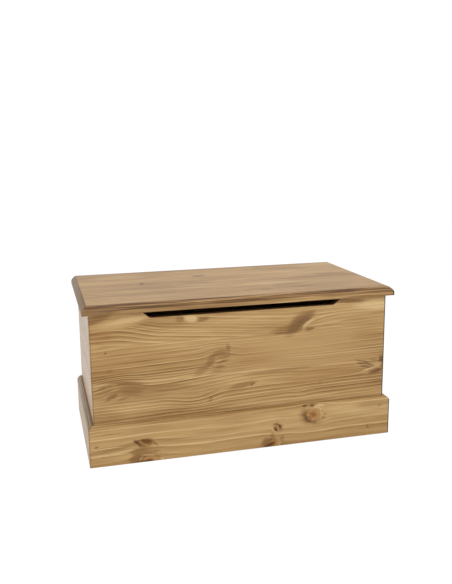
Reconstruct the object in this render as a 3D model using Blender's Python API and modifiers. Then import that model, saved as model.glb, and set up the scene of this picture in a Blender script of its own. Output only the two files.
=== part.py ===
"""A waxed pine storage trunk with a moulded lid, a moulded plinth and a finger slot under the lid.

The trunk stands on z = 0 with its front towards -Y.  The origin is the centre of its footprint,
hinge knuckles included.  The lid turns on two surface hinges at the back and is held open by two
slotted stays, whose arms slide on studs inside the end panels.
"""
import math

import bmesh
import bpy
from mathutils import Matrix, Vector

# Carcass
body_width = 0.850
body_depth = 0.450
body_height = 0.420
panel_thickness = 0.018
corner_round = 0.003

# Room between pieces that touch, how far a cutter overruns, and the smallest distance that counts
seat_gap = 0.0003
cutter_overrun = 0.004
weld_distance = 0.000002

# Finger slot in the top edge of the front panel
finger_slot_length = 0.526
finger_slot_depth = 0.019
finger_slot_corner_round = 0.006
finger_slot_end_angle = math.radians(50.0)

# Plinth
plinth_height = 0.115
plinth_thickness = 0.015
plinth_moulding = 0.0108
plinth_corner_round = 0.0025

# Lid
lid_thickness = 0.025
lid_overhang = 0.0175
lid_moulding = 0.0145
lid_arris_round = 0.0012

# The router bit that shapes both mouldings
moulding_steps = 5
moulding_fullness_share = 0.36
round_fullness_share = 0.5
arris_steps = 2

# Base board and the battens that carry it
base_thickness = 0.006
base_batten_section = 0.018
base_batten_floor_clearance = 0.022

# Battens that keep the lid flat
lid_batten_width = 0.045
lid_batten_thickness = 0.018
lid_batten_length = 0.340
lid_batten_chamfer = 0.003
lid_batten_place_share = 0.36

# Hinges
hinge_place_share = 0.32
hinge_length = 0.064
hinge_leaf_height = 0.022
hinge_leaf_thickness = 0.002
hinge_knuckle_radius = 0.0035
hinge_knuckle_count = 5
hinge_knuckle_play = 0.0004
hinge_pin_radius = 0.0017
hinge_pin_clearance = 0.0003
hinge_pin_head_radius = 0.0029
hinge_pin_head_height = 0.0012
hinge_screw_pitch = 0.022

# Lid stays
lid_open_angle = math.radians(95.0)
stay_radius = 0.150
stay_lid_pivot_angle = math.radians(5.0)
stay_stud_angle = math.radians(30.0)
stay_metal_thickness = 0.002
stay_arm_thickness = 0.0025
stay_arm_width = 0.014
stay_play = 0.0004
stay_slot_clearance = 0.0005
stay_slot_end_room = 0.0015
stay_arm_end_metal = 0.0055
stay_stud_radius = 0.0028
stay_stud_collar_radius = 0.0055
stay_stud_collar_height = 0.0012
stay_stud_head_radius = 0.0056
stay_head_height = 0.0018
stay_rivet_radius = 0.0025
stay_rivet_head_radius = 0.0048
stay_hole_clearance = 0.0003
stud_plate_width = 0.020
stud_plate_length = 0.046
stud_plate_screw_spread = 0.030
bracket_leaf_width = 0.020
bracket_length = 0.044
bracket_tab_round = 0.013
bracket_screw_spread = 0.029

# Countersunk screws: the short one for the fittings, the long one for the lid battens
screw_clearance = 0.0003
screw_recess_share = 0.55
screw_recess_bar_share = 0.18
screw_recess_taper_share = 0.75
screw_head_rim_share = 0.25
fitting_screw_head_radius = 0.0030
fitting_screw_shank_radius = 0.0014
fitting_screw_head_height = 0.0016
fitting_screw_length = 0.014
fitting_screw_tip = 0.003
batten_screw_head_radius = 0.0040
batten_screw_shank_radius = 0.0020
batten_screw_head_height = 0.0024
batten_screw_length = 0.035
batten_screw_tip = 0.004
batten_screw_spread_share = 0.40

# Domed heads of pins, studs and rivets: the width of the flat top and the height of the rim below it
crown_width_share = 0.6
crown_rim_share = 0.4

# Facets round a turned piece and round the end of a flat one
turned_steps = 12
knuckle_steps = 8
round_end_steps = 8
smooth_angle = math.radians(35.0)

# Places that follow from the sizes above
overall_depth = lid_overhang + body_depth + seat_gap + 2 * hinge_knuckle_radius
front_y = lid_overhang - overall_depth / 2
back_y = front_y + body_depth
half_width = body_width / 2
inner_x = half_width - panel_thickness
lid_underside = body_height + seat_gap
hinge_axis = Vector((0, back_y + seat_gap + hinge_knuckle_radius, body_height + seat_gap / 2))
leaf_clear = hinge_knuckle_radius + hinge_knuckle_play

# Distances inwards from an end panel's inner face, across a stay
plate_far = seat_gap + stay_metal_thickness
collar_near = plate_far + seat_gap
collar_far = collar_near + stay_stud_collar_height
arm_near = collar_far + stay_play
arm_far = arm_near + stay_arm_thickness
tab_near = arm_far + stay_play
tab_far = tab_near + stay_metal_thickness

# The stay's lid pivot and its stud lie equally far from the hinge axis
stud_from_axis = stay_radius * Vector((0, -math.cos(stay_stud_angle), -math.sin(stay_stud_angle)))
pivot_from_axis = stay_radius * Vector((0, -math.cos(stay_lid_pivot_angle),
                                        -math.sin(stay_lid_pivot_angle)))
stay_closed_angle = stay_stud_angle - stay_lid_pivot_angle
stud_reach_closed = 2 * stay_radius * math.sin(stay_closed_angle / 2)
stud_reach_open = 2 * stay_radius * math.sin((stay_closed_angle + lid_open_angle) / 2)


def clear_scene():
    """Empties the scene, so that running this again gives the same result."""
    for old in list(bpy.data.objects):
        bpy.data.objects.remove(old, do_unlink=True)
    for old in list(bpy.data.collections):
        bpy.data.collections.remove(old)


def new_collection(name):
    """Adds an empty collection to the scene."""
    collection = bpy.data.collections.new(name)
    bpy.context.scene.collection.children.link(collection)
    return collection


def finish(name, colour, roughness, metallic=0.0):
    """A plain Principled finish."""
    material = bpy.data.materials.new(name)
    material.use_nodes = True
    shader = next(node for node in material.node_tree.nodes if node.type == "BSDF_PRINCIPLED")
    shader.inputs["Base Color"].default_value = (*colour, 1.0)
    shader.inputs["Roughness"].default_value = roughness
    shader.inputs["Metallic"].default_value = metallic
    material.diffuse_color = (*colour, 1.0)
    return material


def pine(name, shade=1.0):
    """Waxed pine, a little lighter or darker by the shade."""
    return finish(name, (0.44 * shade, 0.28 * shade, 0.125 * shade), 0.45)


def steel(name):
    """Zinc plated steel."""
    return finish(name, (0.52, 0.50, 0.46), 0.34, 1.0)


def brass(name):
    """Plain satin brass."""
    return finish(name, (0.66, 0.47, 0.20), 0.32, 1.0)


def empty_at(name, place, parent=None):
    """An empty that carries the pieces of one moving body, unturned at rest."""
    carrier = bpy.data.objects.new(name, None)
    carrier["place"] = place
    set_place(carrier, place, parent)
    parts.objects.link(carrier)
    return carrier


def set_place(item, place, parent):
    """Puts an object at a world place, under an unturned parent."""
    item.location = place
    if parent is not None:
        item.parent = parent
        item.location = Vector(place) - Vector(parent["place"])


def add_piece(name, mesh, material, place, parent, turn=None):
    """Adds one sub-part with its own material."""
    piece = bpy.data.objects.new(name, mesh)
    set_place(piece, place, parent)
    if turn is not None:
        piece.rotation_euler = turn.to_euler()
    piece.data.materials.clear()
    piece.data.materials.append(material)
    parts.objects.link(piece)
    return piece


def add_cutter(name, mesh, place, parent):
    """Adds a shape that is only cut out of other pieces."""
    cutter = bpy.data.objects.new(name, mesh)
    set_place(cutter, place, parent)
    cutter.hide_render = True
    cutter.display_type = "WIRE"
    cutters.objects.link(cutter)
    return cutter


def cut(piece, cutter):
    """Takes a cutter out of a piece."""
    modifier = piece.modifiers.new("cut " + cutter.name, "BOOLEAN")
    modifier.operation = "DIFFERENCE"
    modifier.solver = "EXACT"
    modifier.object = cutter


def mesh_from(shape, name):
    """Turns a bmesh into a mesh with outward faces."""
    bmesh.ops.recalc_face_normals(shape, faces=shape.faces)
    mesh = bpy.data.meshes.new(name)
    shape.to_mesh(mesh)
    shape.free()
    return mesh


def box_shape(low, high):
    """A box between two corners, as a bmesh."""
    low = Vector(low)
    high = Vector(high)
    shape = bmesh.new()
    bmesh.ops.create_cube(shape, size=1.0)
    bmesh.ops.scale(shape, vec=high - low, verts=shape.verts)
    bmesh.ops.translate(shape, vec=(high + low) / 2, verts=shape.verts)
    return shape


def round_edges(shape, chosen, width, steps, fullness=round_fullness_share):
    """Bevels the edges whose two ends both satisfy the test."""
    edges = [edge for edge in shape.edges if chosen(edge.verts[0].co, edge.verts[1].co)]
    bmesh.ops.bevel(shape, geom=edges, offset=width, offset_type="OFFSET", segments=steps,
                    profile=fullness, affect="EDGES", clamp_overlap=True)


def keep_side(shape, point, normal):
    """Saws a shape at a plane, keeps the side that the normal points to, and closes the sawn face."""
    everything = shape.verts[:] + shape.edges[:] + shape.faces[:]
    sawn = bmesh.ops.bisect_plane(shape, geom=everything, dist=weld_distance, plane_co=point,
                                  plane_no=normal, clear_inner=True)
    rim = [item for item in sawn["geom_cut"] if isinstance(item, bmesh.types.BMEdge)]
    bmesh.ops.edgeloop_fill(shape, edges=rim)


def near(a, b):
    """Tells whether two coordinates are the same but for rounding."""
    return abs(a - b) < weld_distance * 5


def shade_by_angle(mesh):
    """Smooth over the rounds and crisp at the corners."""
    mesh.shade_smooth()
    mesh.set_sharp_from_angle(angle=smooth_angle)


def settle(piece):
    """Applies the cuts made in a metal piece, so that its shading can follow its real corners."""
    bpy.context.view_layer.update()
    depsgraph = bpy.context.evaluated_depsgraph_get()
    mesh = bpy.data.meshes.new_from_object(piece.evaluated_get(depsgraph))
    mesh.name = piece.name
    shade_by_angle(mesh)
    piece.modifiers.clear()
    piece.data = mesh


def evaluated_mesh(item, name):
    """The mesh of an object with its modifiers, welded, and the object removed."""
    bpy.context.view_layer.update()
    depsgraph = bpy.context.evaluated_depsgraph_get()
    mesh = bpy.data.meshes.new_from_object(item.evaluated_get(depsgraph))
    mesh.name = name
    shape = bmesh.new()
    shape.from_mesh(mesh)
    bmesh.ops.remove_doubles(shape, verts=shape.verts, dist=weld_distance)
    bmesh.ops.recalc_face_normals(shape, faces=shape.faces)
    shape.to_mesh(mesh)
    shape.free()
    bpy.data.objects.remove(item, do_unlink=True)
    return mesh


def turned_mesh(name, profile):
    """Turns a profile of (radius, height) points about Z, from the top of the axis to its foot."""
    outline = bpy.data.meshes.new(name + " outline")
    points = [(radius, 0, height) for radius, height in profile]
    outline.from_pydata(points, [(i, i + 1) for i in range(len(points) - 1)], [])
    spindle = bpy.data.objects.new(name + " spindle", outline)
    parts.objects.link(spindle)
    screw = spindle.modifiers.new("turn", "SCREW")
    screw.steps = turned_steps
    screw.render_steps = turned_steps
    screw.use_merge_vertices = True
    screw.merge_threshold = weld_distance
    mesh = evaluated_mesh(spindle, name)
    shade_by_angle(mesh)
    return mesh


def flat_mesh(name, loops, thickness):
    """Fills flat outlines in the XY plane, the inner ones as holes, and thickens them about it."""
    curve = bpy.data.curves.new(name + " outline", "CURVE")
    curve.dimensions = "2D"
    curve.fill_mode = "BOTH"
    curve.extrude = thickness / 2
    for loop in loops:
        spline = curve.splines.new("POLY")
        spline.points.add(len(loop) - 1)
        for point, (x, y) in zip(spline.points, loop):
            point.co = (x, y, 0, 1)
        spline.use_cyclic_u = True
    plate = bpy.data.objects.new(name + " plate", curve)
    parts.objects.link(plate)
    mesh = evaluated_mesh(plate, name)
    shade_by_angle(mesh)
    return mesh


def arc(centre, radius, start, end, steps):
    """Points along a round, both ends included."""
    angles = [start + (end - start) * step / steps for step in range(steps + 1)]
    return [(centre[0] + radius * math.cos(a), centre[1] + radius * math.sin(a)) for a in angles]


def round_ended(near_end, far_end, radius):
    """A bar's outline along X between the centres of its two round ends."""
    far_round = arc((far_end, 0), radius, -math.pi / 2, math.pi / 2, round_end_steps)
    near_round = arc((near_end, 0), radius, math.pi / 2, 3 * math.pi / 2, round_end_steps)
    return far_round + near_round


def circle(centre, radius):
    """A closed round outline."""
    return arc(centre, radius, 0, 2 * math.pi, turned_steps)[:-1]


def panel(name, low, high, material, parent, chosen=None):
    """A board between two corners, with the chosen edges eased, placed by its own centre."""
    centre = (Vector(low) + Vector(high)) / 2
    shape = box_shape(Vector(low) - centre, Vector(high) - centre)
    if chosen is not None:
        round_edges(shape, chosen, corner_round, arris_steps)
    return add_piece(name, mesh_from(shape, name), material, centre, parent)


def screw_profile(head_radius, shank_radius, head_height, length, tip, room):
    """A countersunk screw with its head's top at zero, larger all round by the room."""
    rim = head_height * screw_head_rim_share
    return [
        (0, cutter_overrun if room else 0),
        (head_radius + room, cutter_overrun if room else 0),
        (head_radius + room, -rim),
        (shank_radius + room, -head_height - room),
        (shank_radius + room, -length + tip),
        (0, -length - room),
    ]


def screw_kind(name, head_radius, shank_radius, head_height, length, tip):
    """One size of screw: its mesh with a cross recess, and the mesh of the seat cut for it."""
    sizes = (head_radius, shank_radius, head_height, length, tip)
    blank = bpy.data.objects.new(name + " blank", turned_mesh(name + " blank", screw_profile(*sizes, 0)))
    parts.objects.link(blank)
    reach = head_radius * screw_recess_share
    bar = head_radius * screw_recess_bar_share
    tip_bar = bar * screw_recess_taper_share
    cross = []
    for quarter in range(4):
        turn = Matrix.Rotation(quarter * math.pi / 2, 2)
        cross += [turn @ Vector(corner) for corner in ((reach, -tip_bar), (reach, tip_bar), (bar, bar))]
    punch = add_cutter(name + " recess", flat_mesh(name + " recess", [cross], head_height), (0, 0, 0), None)
    cut(blank, punch)
    mesh = evaluated_mesh(blank, name)
    shade_by_angle(mesh)
    bpy.data.objects.remove(punch, do_unlink=True)
    return {"mesh": mesh, "seat": turned_mesh(name + " seat", screw_profile(*sizes, screw_clearance))}


def drive_screws(names, kind, places, outward, material, parent, receivers):
    """Drives one screw at each place and cuts their seats out of everything that they pass through.

    The places are the centres of the heads' tops, and outward is the way that the heads face.
    """
    turn = Vector((0, 0, 1)).rotation_difference(Vector(outward))
    seats = bmesh.new()
    for name, place in zip(names, places):
        add_piece(name, kind["mesh"].copy(), material, place, parent, turn)
        before = len(seats.verts)
        seats.from_mesh(kind["seat"])
        seats.verts.ensure_lookup_table()
        offset = Matrix.Translation(Vector(place) - Vector(parent["place"])) @ turn.to_matrix().to_4x4()
        bmesh.ops.transform(seats, matrix=offset, verts=seats.verts[before:])
    cutter = add_cutter(names[0] + "_seats", mesh_from(seats, names[0] + " seats"), parent["place"], parent)
    for receiver in receivers:
        cut(receiver, cutter)


def make_carcass():
    """The four panels of the box, butt jointed, with the long ones covering the ends."""
    outer_face = panel_thickness / 2

    def on_front_corner(a, b):
        return near(a.x, b.x) and near(a.y, -outer_face) and near(b.y, -outer_face)

    def on_back_corner(a, b):
        return near(a.x, b.x) and near(a.y, outer_face) and near(b.y, outer_face)

    front = panel("front_panel", (-half_width, front_y, 0),
                  (half_width, front_y + panel_thickness, body_height),
                  pine("front pine"), trunk, on_front_corner)
    back = panel("back_panel", (-half_width, back_y - panel_thickness, 0),
                 (half_width, back_y, body_height), pine("back pine", 0.95), trunk, on_back_corner)
    near_y = front_y + panel_thickness + seat_gap
    far_y = back_y - panel_thickness - seat_gap
    ends = {}
    for side, name in ((-1, "left_side_panel"), (1, "right_side_panel")):
        xs = sorted((side * inner_x, side * half_width))
        ends[side] = panel(name, (xs[0], near_y, 0), (xs[1], far_y, body_height),
                           pine(name + " pine", 1.1), trunk)
    cut_finger_slot(front)
    return back, ends


def cut_finger_slot(front):
    """A long slot in the front's top edge with sloping ends and rounded bottom corners."""
    height = finger_slot_depth + cutter_overrun
    flare = height * math.tan(finger_slot_end_angle)
    half_length = finger_slot_length / 2
    half_thickness = panel_thickness / 2 + cutter_overrun
    shape = box_shape((-half_length, -half_thickness, 0), (half_length, half_thickness, height))
    for vert in shape.verts:
        if vert.co.z > 0:
            vert.co.x += math.copysign(flare, vert.co.x)
    round_edges(shape, lambda a, b: near(a.x, b.x) and near(a.z, 0) and near(b.z, 0),
                finger_slot_corner_round, moulding_steps)
    place = (0, front_y + panel_thickness / 2, body_height - finger_slot_depth)
    cut(front, add_cutter("finger_slot", mesh_from(shape, "finger slot"), place, trunk))


def make_base():
    """The base board on four battens that line the foot of the box."""
    near_y = front_y + panel_thickness + seat_gap
    far_y = back_y - panel_thickness - seat_gap
    reach_x = inner_x - seat_gap
    foot = base_batten_floor_clearance
    top = foot + base_batten_section
    section = base_batten_section
    wood = pine("batten pine", 1.15)
    panel("front_base_batten", (-reach_x, near_y, foot), (reach_x, near_y + section, top), wood, trunk)
    panel("back_base_batten", (-reach_x, far_y - section, foot), (reach_x, far_y, top), wood, trunk)
    for side, name in ((-1, "left_base_batten"), (1, "right_base_batten")):
        xs = sorted((side * reach_x, side * (reach_x - section)))
        panel(name, (xs[0], near_y + section + seat_gap, foot), (xs[1], far_y - section - seat_gap, top),
              wood, trunk)
    board = top + seat_gap
    panel("base_panel", (-reach_x, near_y, board), (reach_x, far_y, board + base_thickness),
          pine("base ply", 1.3), trunk)


def plinth_block():
    """The outer shape of the whole plinth, solid, with its moulding and its eased corners."""
    outer_x = half_width + seat_gap + plinth_thickness
    outer_y = front_y - seat_gap - plinth_thickness
    shape = box_shape((-outer_x, outer_y, 0), (outer_x, back_y, plinth_height))

    def on_top_outside(a, b):
        on_top = near(a.z, plinth_height) and near(b.z, plinth_height)
        return on_top and not (near(a.y, back_y) and near(b.y, back_y))

    def on_corner(a, b):
        return all(near(outer_x - abs(v.x), v.y - outer_y) for v in (a, b)) and a.x * b.x > 0

    round_edges(shape, on_top_outside, plinth_moulding, moulding_steps, moulding_fullness_share)
    round_edges(shape, on_corner, plinth_corner_round, arris_steps)
    return shape


def make_plinth():
    """Three plinth boards, mitred at the front corners and square at the back."""
    face_x = half_width + seat_gap
    face_y = front_y - seat_gap
    front = plinth_block()
    keep_side(front, (0, face_y, 0), (0, -1, 0))
    for side, name in ((-1, "plinth_left"), (1, "plinth_right")):
        mitre = Vector((side, 1, 0)).normalized()
        corner = Vector((side * face_x, face_y, 0))
        keep_side(front, corner - mitre * seat_gap / 2, -mitre)
        board = plinth_block()
        keep_side(board, (side * face_x, 0, 0), (side, 0, 0))
        keep_side(board, corner + mitre * seat_gap / 2, mitre)
        add_piece(name, mesh_from(board, name), pine(name + " pine", 1.1), (0, 0, 0), trunk)
    add_piece("plinth_front", mesh_from(front, "plinth_front"), pine("plinth pine", 1.05), (0, 0, 0), trunk)


def make_lid():
    """The lid board, moulded along the front and both ends, and the two battens under it."""
    reach_x = half_width + lid_overhang
    low = Vector((-reach_x, front_y - lid_overhang, lid_underside)) - hinge_axis
    high = Vector((reach_x, back_y, lid_underside + lid_thickness)) - hinge_axis
    shape = box_shape(low, high)

    def on_top_outside(a, b):
        return near(a.z, high.z) and near(b.z, high.z) and not (near(a.y, high.y) and near(b.y, high.y))

    def on_foot_outside(a, b):
        return near(a.z, low.z) and near(b.z, low.z) and not (near(a.y, high.y) and near(b.y, high.y))

    round_edges(shape, on_top_outside, lid_moulding, moulding_steps, moulding_fullness_share)
    round_edges(shape, on_foot_outside, lid_arris_round, arris_steps)
    board = add_piece("lid_panel", mesh_from(shape, "lid_panel"), pine("lid pine", 1.0), hinge_axis, lid)

    middle_y = front_y + body_depth / 2
    top = lid_underside - seat_gap
    for side, name in ((-1, "left"), (1, "right")):
        centre_x = side * body_width * lid_batten_place_share
        centre = Vector((centre_x, middle_y, top - lid_batten_thickness / 2))
        half = Vector((lid_batten_width, lid_batten_length, lid_batten_thickness)) / 2
        shape = box_shape(-half, half)
        round_edges(shape, lambda a, b: near(a.z, -half.z) and near(b.z, -half.z), lid_batten_chamfer, 1)
        batten = add_piece(name + "_lid_batten", mesh_from(shape, name + " lid batten"),
                           pine(name + " lid batten pine", 1.15), centre, lid)
        places = [(centre_x, middle_y + share * lid_batten_length, top - lid_batten_thickness)
                  for share in (-batten_screw_spread_share, 0, batten_screw_spread_share)]
        names = [f"{name}_lid_batten_screw_{i}" for i in (1, 2, 3)]
        drive_screws(names, batten_screw, places, (0, 0, -1), steel(name + " batten screws"), lid,
                     [batten, board])
    return board


def leaf_outline():
    """A hinge leaf in section, rolled into its knuckle: the wood side at the left, the axis at zero."""
    radius = hinge_knuckle_radius
    inner = hinge_leaf_thickness - radius
    start = math.atan2(-math.sqrt(radius ** 2 - inner ** 2), inner)
    under = arc((0, 0), radius, start, 0, knuckle_steps)[:-1]
    over = arc((0, 0), radius, 0, math.pi, knuckle_steps)
    return [(-radius, -hinge_leaf_height), (inner, -hinge_leaf_height)] + under + over


def knuckle_gaps(first):
    """Cutters for every second knuckle, counted from the first one, which the other leaf fills."""
    pitch = hinge_length / hinge_knuckle_count
    shape = bmesh.new()
    for index in range(first, hinge_knuckle_count, 2):
        left = -hinge_length / 2 + index * pitch - hinge_knuckle_play / 2
        right = left + pitch + hinge_knuckle_play
        left -= cutter_overrun if index == 0 else 0
        right += cutter_overrun if index == hinge_knuckle_count - 1 else 0
        low = (left, -hinge_knuckle_radius - cutter_overrun, -leaf_clear)
        high = (right, hinge_knuckle_radius + cutter_overrun, leaf_clear)
        block = box_shape(low, high)
        mesh = mesh_from(block, "gap")
        shape.from_mesh(mesh)
        bpy.data.meshes.remove(mesh)
    return mesh_from(shape, "knuckle gaps")


def bore_mesh(name, radius, length):
    """A round cutter along X, centred."""
    shape = bmesh.new()
    bmesh.ops.create_cone(shape, cap_ends=True, segments=turned_steps, radius1=radius, radius2=radius,
                          depth=length, matrix=Matrix.Rotation(math.pi / 2, 4, "Y"))
    return mesh_from(shape, name)


def make_hinge(name, centre_x, back, board):
    """A surface hinge: two leaves rolled round one pin, each held by three screws."""
    axis = hinge_axis + Vector((centre_x, 0, 0))
    along_x = Matrix(((0, 0, 1), (1, 0, 0), (0, 1, 0))).to_4x4()
    bore = bore_mesh("pin bore", hinge_pin_radius + hinge_pin_clearance, hinge_length + 2 * cutter_overrun)
    turned_over = Matrix.Rotation(math.pi, 3, "Y").to_quaternion()
    leaf_middle = (leaf_clear + hinge_leaf_height) / 2
    leaves = (("body_leaf", trunk, back, None, -1, 1), ("lid_leaf", lid, board, turned_over, 1, 0))
    for kind, parent, wood, turn, up, first_gap in leaves:
        mesh = flat_mesh(f"{name}_{kind}", [leaf_outline()], hinge_length)
        mesh.transform(along_x)
        leaf = add_piece(f"{name}_{kind}", mesh, brass(f"{name} {kind} brass"), axis, parent, turn)
        cut(leaf, add_cutter(f"{name}_{kind}_gaps", knuckle_gaps(first_gap), axis, parent))
        cut(leaf, add_cutter(f"{name}_{kind}_bore", bore.copy(), axis, parent))
        face_y = axis.y - hinge_knuckle_radius + hinge_leaf_thickness
        places = [(axis.x + step * hinge_screw_pitch, face_y, axis.z + up * leaf_middle)
                  for step in (-1, 0, 1)]
        names = [f"{name}_{kind}_screw_{i}" for i in (1, 2, 3)]
        drive_screws(names, fitting_screw, places, (0, 1, 0), brass(f"{name} {kind} screws"), parent,
                     [leaf, wood])
        settle(leaf)
    half = hinge_length / 2 + seat_gap
    head = hinge_pin_head_height
    top = [(0, half + head), (hinge_pin_head_radius * crown_width_share, half + head),
           (hinge_pin_head_radius, half + head * crown_rim_share), (hinge_pin_head_radius, half),
           (hinge_pin_radius, half)]
    pin = top + [(radius, -height) for radius, height in reversed(top)]
    turn = Matrix.Rotation(math.pi / 2, 3, "Y").to_quaternion()
    add_piece(f"{name}_pin", turned_mesh(f"{name}_pin", pin), brass(f"{name} pin brass"), axis, trunk, turn)


def make_stay(name, side, end, board):
    """A slotted stay: a lid bracket, an arm riveted to it, and the stud that the arm slides on."""
    face_x = side * inner_x
    pivot = hinge_axis + pivot_from_axis
    stud = hinge_axis + stud_from_axis
    outward = Vector((side, 0, 0))
    towards_panel = Vector((0, 0, 1)).rotation_difference(outward)
    upright = Matrix(((0, 0, 1), (1, 0, 0), (0, 1, 0))).to_4x4()
    hole = stay_rivet_radius + stay_hole_clearance

    # The plate on the end panel, and the stud in it
    half_plate = stud_plate_length / 2 - stud_plate_width / 2
    turned_up = Matrix.Rotation(math.pi / 2, 4, "Z")
    plate_loops = [round_ended(-half_plate, half_plate, stud_plate_width / 2), circle((0, 0), hole)]
    plate_mesh = flat_mesh(name + "_stud_plate", plate_loops, stay_metal_thickness)
    plate_mesh.transform(upright @ turned_up)
    plate_x = face_x - side * (seat_gap + plate_far) / 2
    plate = add_piece(name + "_stud_plate", plate_mesh, steel(name + " plate steel"),
                      (plate_x, stud.y, stud.z), trunk)
    screw_x = face_x - side * plate_far
    places = [(screw_x, stud.y, stud.z + share * stud_plate_screw_spread / 2) for share in (-1, 1)]
    drive_screws([f"{name}_stud_plate_screw_{i}" for i in (1, 2)], fitting_screw, places, -outward,
                 steel(name + " plate screws"), trunk, [plate, end])
    settle(plate)
    head_near = arm_far + stay_play
    rise = stay_head_height
    rim = rise * crown_rim_share
    stud_profile = [(0, -seat_gap), (stay_rivet_radius, -seat_gap), (stay_rivet_radius, -collar_near),
                    (stay_stud_collar_radius, -collar_near), (stay_stud_collar_radius, -collar_far),
                    (stay_stud_radius, -collar_far), (stay_stud_radius, -head_near),
                    (stay_stud_head_radius, -head_near), (stay_stud_head_radius, -head_near - rim),
                    (stay_stud_head_radius * crown_width_share, -head_near - rise),
                    (0, -head_near - rise)]
    add_piece(name + "_stud", turned_mesh(name + "_stud", stud_profile), steel(name + " stud steel"),
              (face_x, stud.y, stud.z), trunk, towards_panel)

    # The bracket under the lid, with a tab that hangs beside the arm
    leaf_top = lid_underside - seat_gap - pivot.z
    tab_foot = -stay_arm_width / 2
    leaf_foot = leaf_top - stay_metal_thickness
    tab_x = (-side * tab_near, -side * tab_far)
    leaf_x = -side * (tab_near + bracket_leaf_width)
    angle = [(tab_x[0], tab_foot), (tab_x[1], tab_foot), (tab_x[1], leaf_foot), (leaf_x, leaf_foot),
             (leaf_x, leaf_top), (tab_x[0], leaf_top)]
    bracket_mesh = flat_mesh(name + "_lid_bracket", [angle], bracket_length)
    bracket_mesh.transform(Matrix.Rotation(math.pi / 2, 4, "X"))
    shape = bmesh.new()
    shape.from_mesh(bracket_mesh)
    round_edges(shape, lambda a, b: near(a.z, tab_foot) and near(b.z, tab_foot) and near(a.y, b.y),
                bracket_tab_round, round_end_steps)
    bracket = add_piece(name + "_lid_bracket", mesh_from(shape, name + "_lid_bracket"),
                        steel(name + " bracket steel"), (face_x, pivot.y, pivot.z), lid)
    rivet_hole = add_cutter(name + "_rivet_hole", bore_mesh("rivet hole", hole, 4 * tab_far),
                            (face_x, pivot.y, pivot.z), lid)
    cut(bracket, rivet_hole)
    screw_centre = face_x - side * (tab_far + (tab_near + bracket_leaf_width)) / 2
    places = [(screw_centre, pivot.y + share * bracket_screw_spread / 2, pivot.z + leaf_foot)
              for share in (-1, 1)]
    drive_screws([f"{name}_lid_bracket_screw_{i}" for i in (1, 2)], fitting_screw, places, (0, 0, -1),
                 steel(name + " bracket screws"), lid, [bracket, board])
    settle(bracket)
    near_head = arm_near - seat_gap
    far_head = tab_far + seat_gap
    crown = stay_rivet_head_radius * crown_width_share
    rivet = [(0, rise - near_head), (crown, rise - near_head),
             (stay_rivet_head_radius, rim - near_head), (stay_rivet_head_radius, -near_head),
             (stay_rivet_radius, -near_head), (stay_rivet_radius, -far_head),
             (stay_rivet_head_radius, -far_head), (stay_rivet_head_radius, -far_head - rim),
             (crown, -far_head - rise), (0, -far_head - rise)]
    add_piece(name + "_rivet", turned_mesh(name + "_rivet", rivet), steel(name + " rivet steel"),
              (face_x, pivot.y, pivot.z), lid, towards_panel)

    # The arm hangs from the rivet and its slot runs on the stud
    carrier = empty_at(name + "_arm_pivot", (face_x, pivot.y, pivot.z), lid)
    slot_half = stay_stud_radius + stay_slot_clearance
    slot_near = stud_reach_closed - stay_slot_end_room
    slot_far = stud_reach_open + stay_slot_end_room
    arm_end = slot_far + slot_half + stay_arm_end_metal - stay_arm_width / 2
    loops = [round_ended(0, arm_end, stay_arm_width / 2), circle((0, 0), hole),
             round_ended(slot_near, slot_far, slot_half)]
    arm_mesh = flat_mesh(name + "_arm", loops, stay_arm_thickness)
    arm_mesh.transform(upright)
    lean = stud - pivot
    turn = Matrix.Rotation(math.atan2(lean.z, lean.y), 3, "X").to_quaternion()
    arm_x = face_x - side * (arm_near + arm_far) / 2
    add_piece(name + "_arm", arm_mesh, steel(name + " arm steel"), (arm_x, pivot.y, pivot.z), carrier, turn)


clear_scene()
parts = new_collection("storage_trunk")
cutters = new_collection("cutters")
trunk = empty_at("trunk_origin", (0, 0, 0))
lid = empty_at("lid_axis", hinge_axis, trunk)
fitting_screw = screw_kind("fitting screw", fitting_screw_head_radius, fitting_screw_shank_radius,
                           fitting_screw_head_height, fitting_screw_length, fitting_screw_tip)
batten_screw = screw_kind("batten screw", batten_screw_head_radius, batten_screw_shank_radius,
                          batten_screw_head_height, batten_screw_length, batten_screw_tip)

back_panel, end_panels = make_carcass()
make_base()
make_plinth()
lid_board = make_lid()
for side, hand in ((-1, "left"), (1, "right")):
    make_hinge(hand + "_hinge", side * body_width * hinge_place_share, back_panel, lid_board)
    make_stay(hand + "_stay", side, end_panels[side], lid_board)
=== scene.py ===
"""Dresses a packed storage trunk: waxed pine boards, brass hinges, steel lid stays and a plain studio."""
import math
from collections import namedtuple

import bmesh
import bpy
from bpy.props import FloatProperty, FloatVectorProperty, IntProperty, PointerProperty
from mathutils import Matrix, Quaternion, Vector


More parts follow.
